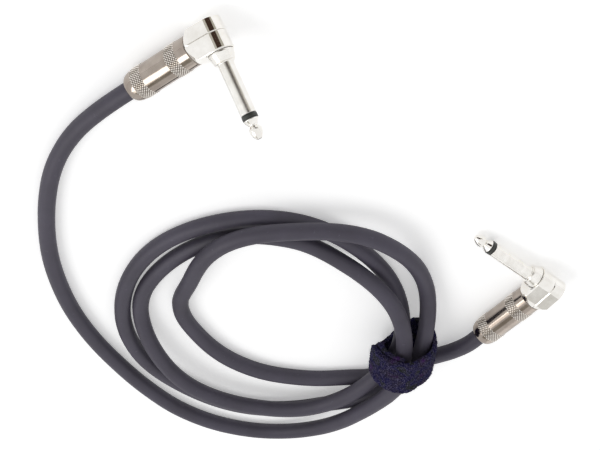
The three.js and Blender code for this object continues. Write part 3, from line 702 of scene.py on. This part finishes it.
def spear_tip():
    foot = SLEEVE_END + RING_LENGTH + 2 * FIT
    neck_r, head_r = TIP_NECK_D / 2, TIP_HEAD_D / 2
    return turned([
        (0, ROD_RIVET_Z),
        (ROD_RIVET_D / 2, ROD_RIVET_Z),
        (ROD_RIVET_D / 2, ROD_RIVET_Z + ROD_RIVET_LENGTH),
        (ROD_D / 2, ROD_RIVET_Z + ROD_RIVET_LENGTH),
        (ROD_D / 2, foot),
        *arc(TIP_BASE_D / 2 - 0.1, foot + 0.1, 0.1, -90, 0, 2),
        *arc(TIP_BASE_D / 2 - 0.12, foot + 0.3, 0.12, 0, 50, 2),
        (neck_r + 0.22, foot + 2.06),
        *arc(neck_r + 0.45, foot + 2.32, 0.45, -150, -225, 5),
        *arc(head_r - 0.35, foot + 3.85, 0.35, -40, 0, 4),
        *arc(head_r - TIP_BULGE_R, foot + 4.0, TIP_BULGE_R, 0, 40, 8),
        *arc(TIP_NOSE_R - 0.15, TIP_END - 0.62, 0.62, 32, 90, 6),
        (0, TIP_END),
    ])


try_out(insulating_ring, spear_tip)

# %% [markdown]
# ## The barrel
# A turned sleeve that screws on the head's neck and clamps the cable. Two bands are knurled, so that
# fingers can grip it: two sets of slanting grooves cross and leave small diamond points. The points of
# the bands are pressed in by the depth of the nearest groove. An edge is laid along the floor of each
# groove, so that every diamond has four flat sides that catch the light.

# %% Knurls
BARREL_D = 12.8
KNURL_D, KNURL_DEPTH = 13.4, 0.3
DIAMONDS, STEPS_PER_DIAMOND = 36, 4
BARREL_STEPS = DIAMONDS * STEPS_PER_DIAMOND
KNURL_STEP = math.pi * KNURL_D / BARREL_STEPS  # as long as it is wide, so that the grooves cross squarely
BAND_SLACK = 1e-3  # a band reaches this far past its first and last row
ON_THE_FLOOR = 0.02  # a point this near to a groove's middle lies on its floor


def press_knurls(bm, bands):
    """Presses the crossed grooves into the bands: deepest along a groove, none at a diamond's point."""
    groove = bm.verts.layers.float.new("groove")
    groove_floor = []
    for vert in bm.verts:
        x, y, z = vert.co
        radius = math.hypot(y, z)
        band = next((b for b in bands if b[0] <= x <= b[1]), None)
        if band is None or radius < BARREL_D / 2 + 0.1:
            vert[groove] = GROOVE_ON_PLAIN
            continue
        around = math.atan2(z, y) / (2 * math.pi) * DIAMONDS
        along = (x - band[0] - BAND_SLACK) / (KNURL_STEP * STEPS_PER_DIAMOND)
        to_groove = min(abs((around + along) % 1 - 0.5), abs((around - along) % 1 - 0.5)) * 2
        pressed = 1 - KNURL_DEPTH * (1 - to_groove) / radius
        vert.co = (x, y * pressed, z * pressed)
        vert[groove] = 1 - to_groove
        if to_groove < ON_THE_FLOOR:
            groove_floor.append(vert)
    bmesh.ops.connect_verts(bm, verts=groove_floor)


print(DIAMONDS, "diamonds round, each", round(KNURL_STEP * STEPS_PER_DIAMOND, 2), "mm wide")

# %% [markdown]
# The whole profile is spun at once, with four steps to a diamond. Inside there is the bore over the
# neck's thread and the taper that closes the chuck. The nose is rounded, with a thin rim round the cable.

# %% Barrel
BARREL_X, BARREL_CHAMFER = 9.9, 0.3
NOSE_LENGTH, NOSE_RIM_D, NOSE_RIM = 4.7, 9.4, 0.1
BARREL_BORE_D, CHUCK_SEAT_X, CHUCK_SEAT_END_X, CHUCK_SEAT_R, CABLE_BORE_D = 11.2, 32.5, 38.3, 4.8, 8.1
KNURL_BANDS, KNURL_LENGTH = (5.1, 22.7), 4.75  # the bands start this far from the barrel's open end
KNURL_RUN_OUT = 0.25


def barrel():
    body_r, rim_r = BARREL_D / 2, NOSE_RIM_D / 2
    profile = [(BARREL_BORE_D / 2, BARREL_X)]
    profile += arc(body_r - BARREL_CHAMFER, BARREL_X + BARREL_CHAMFER, BARREL_CHAMFER, -90, 0, 4)
    rows = round(KNURL_LENGTH / KNURL_STEP)
    bands = []
    for start in KNURL_BANDS:
        first = BARREL_X + start
        bands.append((first - BAND_SLACK, first + rows * KNURL_STEP + BAND_SLACK))
        profile.append((body_r, first - KNURL_RUN_OUT))
        profile += [(KNURL_D / 2, first + row * KNURL_STEP) for row in range(rows + 1)]
        profile.append((body_r, first + rows * KNURL_STEP + KNURL_RUN_OUT))
    nose = MOUTH_X - NOSE_LENGTH + KNURL_RUN_OUT
    for turn in range(0, 86, 5):
        angle = math.radians(turn)
        reach = rim_r + (body_r - rim_r) * math.cos(angle)
        profile.append((reach, nose + (MOUTH_X - NOSE_RIM - nose) * math.sin(angle)))
    profile += [
        (rim_r, MOUTH_X - NOSE_RIM),
        (rim_r - NOSE_RIM, MOUTH_X),
        (CABLE_BORE_D / 2, MOUTH_X),
        (CABLE_BORE_D / 2, CHUCK_SEAT_END_X),
        (CHUCK_SEAT_R, CHUCK_SEAT_END_X),
        (BARREL_BORE_D / 2, CHUCK_SEAT_X),
    ]
    bm = turned(profile, "X", BARREL_STEPS)
    press_knurls(bm, bands)
    return bm


try_out(barrel)

# %% [markdown]
# ## The head
# Seen along the finger the head is a drop: a round end about the finger's axis, and straight flanks that
# widen to the barrel. The hull of a cylinder and a block is exactly that drop. The hull's operator leaves
# the old points and faces inside, so these are deleted, and its flat faces are made whole again.

# %% The drop
HEAD_HEIGHT, HEAD_LENGTH, HEAD_ROUND_R, HEAD_SHOULDER = 13.0, 9.6, 5.5, 2.1
HALF = HEAD_HEIGHT / 2
FLAT_WITHIN = math.radians(0.5)


def drop(inset, end_x, low_z, high_z):
    """The hull of the round end and the square shoulder, drawn in all round by the inset."""
    bm = bmesh.new()
    middle = Matrix.Translation((0, 0, (low_z + high_z) / 2))
    round_r = HEAD_ROUND_R - inset
    bmesh.ops.create_cone(
        bm, cap_ends=True, segments=TURN_STEPS, radius1=round_r, radius2=round_r,
        depth=high_z - low_z, matrix=middle,
    )
    start_x = HEAD_LENGTH - HEAD_SHOULDER
    shoulder = Matrix.Translation(((start_x + end_x) / 2, 0, 0)) @ middle
    size = Matrix.Diagonal((end_x - start_x, 2 * (HALF - inset), high_z - low_z, 1))
    bmesh.ops.create_cube(bm, size=1, matrix=shoulder @ size)
    hull = bmesh.ops.convex_hull(bm, input=bm.verts, use_existing_faces=False)
    inside = [g for g in hull["geom_interior"] + hull["geom_unused"] if isinstance(g, bmesh.types.BMVert)]
    bmesh.ops.delete(bm, geom=inside, context="VERTS")
    keep = {f for f in hull["geom"] if isinstance(f, bmesh.types.BMFace) and f.is_valid}
    bmesh.ops.delete(bm, geom=[f for f in bm.faces if f not in keep], context="FACES_ONLY")
    bmesh.ops.dissolve_limit(bm, angle_limit=FLAT_WITHIN, verts=bm.verts, edges=bm.edges)
    bmesh.ops.recalc_face_normals(bm, faces=bm.faces)
    return bm


def solid_drop():
    return drop(0, HEAD_LENGTH, -HALF, HALF)


try_out(solid_drop)

# %% [markdown]
# Booleans then do what the factory's tools do. The head was turned at its round end too, so a cone takes
# its corners off. A slab cuts out one half of it, a smaller drop hollows that, and rods bore the holes.
# Each tool runs a little past what it cuts, because two faces in one plane confuse a boolean.

# %% Cut like the factory
HEAD_CHAMFER, HEAD_EDGE, HEAD_WALL, HEAD_FLOOR = 0.75, 0.4, 1.1, 1.4  # the first is a slope
CAVITY_END_X = HEAD_LENGTH - HEAD_WALL
OVERCUT = 1
SLAB_SIDE = 60
CONE_STEPS, BORE_STEPS = 128, 80


def joined(base, tool, operation):
    """One solid from two by a boolean. Both are used up."""
    parts = [object_from(bm, "blank") for bm in (base, tool)]
    cut = parts[0].modifiers.new("cut", "BOOLEAN")
    cut.object, cut.operation, cut.solver = parts[1], operation, "EXACT"
    result = bmesh.new()
    result.from_object(parts[0], bpy.context.evaluated_depsgraph_get())
    for part in parts:
        mesh = part.data
        bpy.data.objects.remove(part)
        bpy.data.meshes.remove(mesh)
    bmesh.ops.remove_doubles(result, verts=result.verts, dist=MERGE_WITHIN)
    return result


def slab(low_z, high_z):
    bm = bmesh.new()
    size = Matrix.Diagonal((SLAB_SIDE, SLAB_SIDE, high_z - low_z, 1))
    bmesh.ops.create_cube(bm, size=1, matrix=Matrix.Translation((0, 0, (low_z + high_z) / 2)) @ size)
    return bm


def rod(radius, low, high, axis):
    return turned([(0, low), (radius, low), (radius, high), (0, high)], axis, BORE_STEPS)


def head_blank():
    bm = drop(0, HEAD_LENGTH + OVERCUT, -HALF, HALF)
    soften(bm, HEAD_EDGE, only=lambda e: abs(e.verts[0].co.z - e.verts[1].co.z) < MERGE_WITHIN)
    back_x = -HEAD_ROUND_R - OVERCUT
    back_r = HALF + (HEAD_LENGTH - back_x) * HEAD_CHAMFER
    cone = turned([(0, back_x), (back_r, back_x), (HALF, HEAD_LENGTH), (0, HEAD_LENGTH)], "X", CONE_STEPS)
    return joined(bm, cone, "INTERSECT")


def hollowed(low_z, high_z):
    """A slice of the head, with its inside taken out."""
    half = joined(head_blank(), slab(low_z, high_z), "INTERSECT")
    hollow = drop(HEAD_WALL, CAVITY_END_X, -HALF + HEAD_WALL, HALF - HEAD_FLOOR)
    return joined(half, hollow, "DIFFERENCE")


try_out(head_blank)

# %% [markdown]
# The body carries the neck, on which the barrel screws. A thread is a helix, and each point of the neck
# knows its place on it from its turn about the axis and its distance along, so it is pressed in by that.

# %% Threaded neck
NECK_D, NECK_BORE_D, NECK_END_X = 10.6, 8.6, 14.6
THREAD_PITCH, THREAD_DEPTH = 0.8, 0.3
THREAD_ROWS = 6  # rows of points for each turn of the thread
CREST_FROM = 1.4  # over 1, so that the crests are flat


def threaded_neck():
    """A rod in rows of points, each pressed in by its place on the thread's helix."""
    rows = round((NECK_END_X - CAVITY_END_X) / THREAD_PITCH * THREAD_ROWS)
    row_length = (NECK_END_X - CAVITY_END_X) / rows
    places = [CAVITY_END_X + row_length * row for row in range(rows + 1)]
    neck_r = NECK_D / 2
    bm = turned([(0, places[0]), *((neck_r, place) for place in places), (0, places[-1])], "X", BORE_STEPS)
    for vert in bm.verts:
        x, y, z = vert.co
        if math.hypot(y, z) > neck_r - 0.1 and x > HEAD_LENGTH:
            to_root = abs((x / THREAD_PITCH - math.atan2(z, y) / (2 * math.pi)) % 1 - 0.5) * 2
            pressed = 1 - THREAD_DEPTH * max(0, 1 - CREST_FROM * to_root) / neck_r
            vert.co = (x, y * pressed, z * pressed)
    return bm


try_out(threaded_neck)

# %% [markdown]
# The body also has a bead under the collar, and the cover is pressed over the body's open side. Each half
# ends a little short of the seam. Its cut face is then inset and drawn out to the seam, which leaves a
# chamfer all round, and the two chamfers catch a fine line of light. That comes last, because a boolean
# after it would have to cut along the chamfer.

# %% Head body and cover
SEAM_Z, SEAM_GAP, SEAM_EDGE = -0.6, 0.04, 0.22
LIP_R, LIP_HEIGHT = 5.85, 0.6
PAST_THE_HEAD = 3 * HALF
SAME_PLANE = 1e-3


def chamfer_seam(half, seam_z):
    """Insets the cut face and draws it out by as much."""
    cut = [face for face in half.faces if all(abs(v.co.z - seam_z) < SAME_PLANE for v in face.verts)]
    bmesh.ops.inset_region(half, faces=cut, thickness=SEAM_EDGE, depth=SEAM_EDGE, use_even_offset=True)
    return half


def head_body():
    seam_z, lip_half = SEAM_Z + SEAM_EDGE, LIP_HEIGHT / 2
    half = hollowed(seam_z, PAST_THE_HEAD)
    rounding = arc(LIP_R - lip_half, HALF, lip_half, -90, 90, 8)
    bead = turned([(0, HALF - lip_half), *rounding, (0, HALF + lip_half)])
    half = joined(half, bead, "UNION")
    half = joined(half, threaded_neck(), "UNION")
    bore = rod(NECK_BORE_D / 2, CAVITY_END_X - OVERCUT, NECK_END_X + OVERCUT, "X")
    half = joined(half, bore, "DIFFERENCE")
    shank_hole = rod(SHANK_D / 2 + FIT, HALF - HEAD_FLOOR - OVERCUT, HALF + OVERCUT, "Z")
    half = joined(half, shank_hole, "DIFFERENCE")
    return chamfer_seam(half, seam_z)


def head_cover():
    seam_z = SEAM_Z - SEAM_GAP - SEAM_EDGE
    half = hollowed(-PAST_THE_HEAD, seam_z)
    neck_hole = rod(NECK_D / 2 + FIT, CAVITY_END_X - OVERCUT, HEAD_LENGTH + OVERCUT, "X")
    half = joined(half, neck_hole, "DIFFERENCE")
    return chamfer_seam(half, seam_z)


try_out(head_body, head_cover)

# %% [markdown]
# ## Setting the plugs
# Each piece is made once for each plug and taken to its place. The barrel rides on its own body, because
# it unscrews; the rest stays with the root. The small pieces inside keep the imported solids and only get
# their materials.

# %% Set both plugs
ROOT_PIECES = {
    "finger_sleeve": finger_sleeve,
    "tip_insulator_ring": insulating_ring,
    "finger_tip": spear_tip,
    "head_body": head_body,
    "head_cover": head_cover,
}
INNER_PIECES = {
    "rod_insulator": liner_plastic,
    "terminal_washer": liner_plastic,
    "tip_terminal": stamped_brass,
    "liner_tube": liner_plastic,
    "cable_chuck": liner_plastic,
    "cable_end": jacket,
    "cable_core": core_insulation,
    "shield_tail": tinned_strands,
}


def set_plug(letter):
    place = plug_place(letter)
    buffed, rubbed = (polished_nickel_plate(finish, letter) for finish in ("buffed", "rubbed"))
    satin = turned_nickel_plate(letter)
    pieces = []
    for name, make in ROOT_PIECES.items():
        material, slot = (rubbed if name == "finger_sleeve" else buffed), "polished_nickel"
        if name == "tip_insulator_ring":
            material, slot = acetal, "black_plastic"
        node = name + "_" + letter
        pieces.append(set_piece(make(), "shown_" + node, material, "root", node, place))
    shown = "shown_barrel_" + letter
    pieces.append(
        set_piece(barrel(), shown, satin, "barrel_" + letter, "barrel_" + letter, place)
    )
    for name, material in INNER_PIECES.items():
        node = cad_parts[name + "_" + letter]
        for slot in node.material_slots:
            slot.link = "OBJECT"
            slot.material = material
        pieces.append(node)
    return pieces


plug_a = set_plug("a")
plug_b = set_plug("b")
print("plug pieces:", len(plug_a), "and", len(plug_b))

# %% [markdown]
# ## The strap
# A strip of hook-and-loop cloth, 18 mm wide, goes once round the three strands and laps over its own
# start. It is stiff enough to keep one round shape, so no cloth simulation is needed: a few smooth swells
# say where a hand has pulled it narrow, tucked it in or pressed it down.

# %% The way of the strip
STRAP_BORE_R, STRAP_THICK, STRAP_WIDTH = 11.35, 2.0, 18.0
STRAP_LAP_FROM, STRAP_LAP, STRAP_RAMP = 100, 132, 40  # degrees
LAP_GAP = 0.6  # between the lap and what lies under it
WANDER = 0.9  # how far the strip strays from an even ring
CORNER_FROM, CORNER_SHARE, CORNER_CUT = 0.965, 0.035, 0.16  # the free end is cut round
FLAP_PRESS, FLAP_DEGREES = 0.6, 45
PINCH_AT, PINCH_SPREAD, PINCH_SHIFT, PINCH_SHARE = 226, 66, 6.2, 0.62  # narrower round the flap's end
FLARE_AT, FLARE_SPREAD, FLARE_SHIFT = 318, 66, 2.5  # and the rim towards the plugs stands out beside it
TUCK_AT, TUCK_SPREAD, TUCK_DEPTH = 255, 110, 1.2  # the other rim is drawn in under the strands
DROOP_AT, DROOP_SPREAD, DROOP_SHIFT = 115, 80, 1.4  # and hangs over them on top
LAP_SHIFT = 3.4  # the lap is wound a little aslant


def strap_radius(turn):
    """Inner radius of the strap, at a turn in degrees from its inner end."""
    radius = STRAP_BORE_R + (STRAP_THICK + LAP_GAP) * eased((turn - (360 - STRAP_RAMP)) / STRAP_RAMP)
    near_end = max(0, turn - (360 + STRAP_LAP - FLAP_DEGREES)) / FLAP_DEGREES
    return radius - FLAP_PRESS * near_end


def swell(around, middle, spread):
    """A smooth hump round a place on the ring: 1 in its middle, 0 outside its spread."""
    return math.cos(math.radians(min(abs(around - middle) / spread, 1) * 90)) ** 2


def rolled(share, across):
    """A place on the strap's inner face, by its share of the length and its place across the width."""
    turn = share * (360 + STRAP_LAP)
    around = (STRAP_LAP_FROM + turn) % 360
    angle = math.radians(around)
    wander = WANDER * noise.noise(Vector((turn / 70, across / 14, 3)))
    to_plugs, away = max(0, across / STRAP_WIDTH * 2), max(0, -across / STRAP_WIDTH * 2)
    radius = strap_radius(turn) + 0.5 * wander - TUCK_DEPTH * away**2 * swell(around, TUCK_AT, TUCK_SPREAD)
    corner = max(0, share - CORNER_FROM) / CORNER_SHARE
    across *= 1 - CORNER_CUT * corner**3
    pinch = swell(around, PINCH_AT, PINCH_SPREAD)
    across = across * (1 - PINCH_SHARE * pinch) - PINCH_SHIFT * pinch
    across += FLARE_SHIFT * to_plugs * swell(around, FLARE_AT, FLARE_SPREAD)
    across -= DROOP_SHIFT * away * swell(around, DROOP_AT, DROOP_SPREAD)
    across -= LAP_SHIFT * eased((turn - 360) / STRAP_LAP)
    return Vector((radius * math.cos(angle), across + wander, radius * math.sin(angle)))


middle_r = STRAP_BORE_R + STRAP_THICK / 2
lap_length = math.radians(STRAP_LAP) * (middle_r + STRAP_THICK + LAP_GAP)
print("strap laid flat:", round(2 * math.pi * middle_r + lap_length), "by", STRAP_WIDTH, "mm")

# %% [markdown]
# The cloth itself is a flat grid, rolled up that way, given its thickness, softened at its edges and
# pressed by noise, because the nap never lies even.

# %% Strap roll
STRAP_ALONG, STRAP_ACROSS = 150, 18
STRAP_EDGE, NAP_DEPTH = 0.55, 0.35


def strap_roll():
    bm = bmesh.new()
    bmesh.ops.create_grid(bm, x_segments=STRAP_ALONG, y_segments=STRAP_ACROSS, size=0.5)
    for vert in bm.verts:
        vert.co = rolled(vert.co.x + 0.5, vert.co.y * STRAP_WIDTH)
    bmesh.ops.recalc_face_normals(bm, faces=bm.faces)
    face = bm.faces[:][len(bm.faces) // 4]
    outward = Vector((face.calc_center_median().x, 0, face.calc_center_median().z))
    if face.normal.dot(outward) > 0:
        bmesh.ops.reverse_faces(bm, faces=bm.faces)
    bmesh.ops.solidify(bm, geom=bm.faces[:], thickness=STRAP_THICK)
    bmesh.ops.recalc_face_normals(bm, faces=bm.faces)
    soften(bm, STRAP_EDGE, 60)
    bmesh.ops.subdivide_edges(bm, edges=bm.edges[:], cuts=1, use_grid_fill=True)
    bm.normal_update()
    for vert, normal in [(v, v.normal.copy()) for v in bm.verts]:
        nap = noise.noise(vert.co * 1.1) + 0.5 * noise.noise(vert.co * 2.7)
        vert.co += normal * NAP_DEPTH * nap
    return bm


strap_mesh = strap_roll()
print("strap:", len(strap_mesh.faces), "faces")

# %% [markdown]
# Short loose fibres stand all over worn loop cloth and blur its outline. Each is a thin cone with three
# sides, so that thousands of them stay light. They root at random places, more on a larger face, and
# lean at random. The numbers come from a seeded source, so they are the same each run.

# %% Loose fibres
FIBRES = 2600
FIBRE_LENGTH, FIBRE_R, FIBRE_TAPER = 0.9, 0.045, 0.4
FIBRE_RISE = 0.4  # its middle lies this share of its length above the cloth
FIBRE_LEAN = 0.9
STRAP_CENTRE = Vector((23.6, -91.5, 14.4))
STRAP_TURN = math.radians(-3)


def add_fibres(bm):
    chance = random.Random(7)
    fibre = bmesh.new()
    bmesh.ops.create_cone(
        fibre, cap_ends=True, segments=3, radius1=FIBRE_R, radius2=FIBRE_R * FIBRE_TAPER, depth=FIBRE_LENGTH
    )
    bmesh.ops.translate(fibre, verts=fibre.verts, vec=(0, 0, FIBRE_LENGTH * FIBRE_RISE))
    stock = bpy.data.meshes.new("fibre")
    fibre.to_mesh(stock)
    fibre.free()
    faces = list(bm.faces)
    rooted = chance.choices(faces, [face.calc_area() for face in faces], k=FIBRES)
    for spot, normal in [(face.calc_center_median(), face.normal.copy()) for face in rooted]:
        lean = Vector([chance.uniform(-1, 1) for _ in range(3)])
        turn = (normal + lean * FIBRE_LEAN).normalized().to_track_quat("Z", "Y").to_matrix().to_4x4()
        before = len(bm.verts)
        bm.from_mesh(stock)
        bm.verts.ensure_lookup_table()
        stretch = Matrix.Scale(chance.uniform(0.5, 1.3), 4)
        bmesh.ops.transform(bm, matrix=Matrix.Translation(spot) @ turn @ stretch, verts=bm.verts[before:])
    bpy.data.meshes.remove(stock)


add_fibres(strap_mesh)
strap_place = Matrix.Scale(MM, 4) @ Matrix.Translation(STRAP_CENTRE) @ Matrix.Rotation(STRAP_TURN, 4, "Z")
strap = set_piece(
    strap_mesh, "strap", strap_cloth, "root", "cable_tie", strap_place, hard=False
)
print("with fibres:", len(strap.data.polygons), "faces")

# %% [markdown]
# ## Floor and light
# A sheet of white paper takes soft shadows. To the eye, in mirrors and through glass it glows a little,
# so that it reads as white without more light on the cable. The same test serves the world.

# %% Floor
FLOOR_LIFT = 0.34
FLOOR_REACH = 3  # metres each way
WHITE = (1, 1, 1, 1)


def seen_or_mirrored(tree):
    """1 for a ray that ends in the picture, straight or by a mirror or glass, and 0 for plain light."""
    path = add_node(tree, "ShaderNodeLightPath").outputs
    seen = path["Is Camera Ray"]
    for ray in ("Is Glossy Ray", "Is Transmission Ray"):
        seen = add_node(tree, "ShaderNodeMath", links={0: seen, 1: path[ray]}, operation="MAXIMUM").outputs[0]
    return seen


def white_floor():
    bm = bmesh.new()
    bmesh.ops.create_grid(bm, x_segments=1, y_segments=1, size=FLOOR_REACH)
    floor = object_from(bm, "floor")
    paper = {"Base_Color": linear("#FAFAFA"), "Roughness": 0.9, "Specular_IOR_Level": 0.0}
    material, tree, shader = new_material("white_paper", Emission_Color=WHITE, **paper)
    seen = seen_or_mirrored(tree)
    lift = add_node(tree, "ShaderNodeMath", {1: FLOOR_LIFT}, {0: seen}, operation="MULTIPLY")
    tree.links.new(lift.outputs[0], shader.inputs["Emission Strength"])
    floor.data.materials.append(material)
    return floor


print(white_floor().name, "lifted by", FLOOR_LIFT)

# %% [markdown]
# The world is white to the eye and to mirrors, and gives plain light at about two thirds of full level.
# One softbox from the left adds the rest. Mirrors don't see it: what they show is set by cards, in the
# next step, so that light and reflections can be tuned apart.

# %% World and lamps
WORLD_LEVEL = 0.62
KEY_PLACE = {"azimuth": -171, "elevation": 51, "distance": 1.3}
KEY_SIDE = 0.7
KEY_RADIANCE = 2.6  # 1 is white


def white_world():
    world = bpy.data.worlds.new("white_room")
    world.use_nodes = True
    bpy.context.scene.world = world
    tree = world.node_tree
    levels = {"To Min": WORLD_LEVEL, "To Max": 1.0}
    level = add_node(tree, "ShaderNodeMapRange", levels, {"Value": seen_or_mirrored(tree)})
    background = tree.nodes["Background"]
    background.inputs["Color"].default_value = WHITE
    tree.links.new(level.outputs["Result"], background.inputs["Strength"])


def towards(azimuth, elevation, distance):
    """A step of the given length, by its direction in degrees."""
    turn, rise = math.radians(azimuth), math.radians(elevation)
    way = (math.cos(turn) * math.cos(rise), math.sin(turn) * math.cos(rise), math.sin(rise))
    return Vector(way) * distance


def key_softbox():
    """A square lamp that faces the middle of the table."""
    data = bpy.data.lights.new("key_softbox", "AREA")
    data.shape = "RECTANGLE"
    data.size = data.size_y = KEY_SIDE
    data.energy = KEY_RADIANCE * KEY_SIDE * KEY_SIDE * math.pi
    lamp = bpy.data.objects.new("key_softbox", data)
    bpy.context.scene.collection.objects.link(lamp)
    lamp.location = towards(**KEY_PLACE)
    lamp.rotation_euler = towards(**KEY_PLACE).to_track_quat("Z", "Y").to_euler()
    lamp.visible_glossy = False
    return lamp


white_world()
print("world at", WORLD_LEVEL, "and", key_softbox().name, "at", KEY_RADIANCE)

# %% [markdown]
# In an all-white room polished metal vanishes. A photographer stands cards round it, and the metal
# mirrors them as crisp stripes, which tell the eye that a face is round. These cards are only there for
# mirrors: they throw no shadow and take no light away. Each stands where one of the plugs mirrors it, so
# its place is a direction and a distance from that plug. Two small ones close by, one for each plug, play
# the softbox's face. They are brighter than white, and draw the long highlights on the barrels.

# %% Cards for the metal to mirror
CARDS = [
    # name, seen from plug, azimuth, elevation, distance, width, height, colour, strength
    ("softbox_face", "a", -164, 52, 0.355, 0.165, 0.2, "#FFFEFC", 4.5),
    ("softbox_side", "b", -175, 40, 0.43, 0.09, 0.1, "#FFFCF8", 2.3),
    ("bright_side_card", "b", -77, 20, 1.2, 0.46, 0.7, "#FFFFFF", 1.4),
    ("dark_door", "a", 91, 16, 1.2, 0.8, 0.66, "#40322A", 1.0),
    ("door_frame_left", "a", 119, 18, 1.2, 0.34, 0.6, "#BCB8AE", 1.0),
    ("door_frame_right", "a", 62, 8, 1.2, 0.46, 0.45, "#B2AEA2", 1.0),
    ("high_dark_card", "a", -113, 54.5, 0.97, 0.44, 0.3, "#B5B2A9", 1.0),
    ("narrow_card", "b", -93, 41, 1.2, 0.07, 0.12, "#A09E98", 1.0),
    ("small_high_card", "b", -69.5, 58, 1.2, 0.11, 0.11, "#D8D7D4", 1.0),
]
BLACK = (0, 0, 0, 1)


def card(name, letter, azimuth, elevation, distance, width, height, colour, strength):
    bm = bmesh.new()
    bmesh.ops.create_grid(bm, x_segments=1, y_segments=1, size=0.5)
    step = towards(azimuth, elevation, distance)
    place = Matrix.Translation(Vector(PLUGS[letter]["crossing"]) * MM + step)
    face = place @ step.to_track_quat("Z", "Y").to_matrix().to_4x4()
    bm.transform(face @ Matrix.Diagonal((width, height, 1, 1)))
    piece = object_from(bm, name)
    glow = {"Emission_Color": linear(colour), "Emission_Strength": strength}
    piece.data.materials.append(new_material(name, Base_Color=BLACK, Specular_IOR_Level=0.0, **glow)[0])
    piece.visible_camera = piece.visible_diffuse = piece.visible_shadow = False
    return piece


cards = [card(*settings) for settings in CARDS]
print("cards:", [piece.name for piece in cards])

# %% [markdown]
# ## Last update
# The view layer is brought up to date once more.

# %% Last update
bpy.context.view_layer.update()
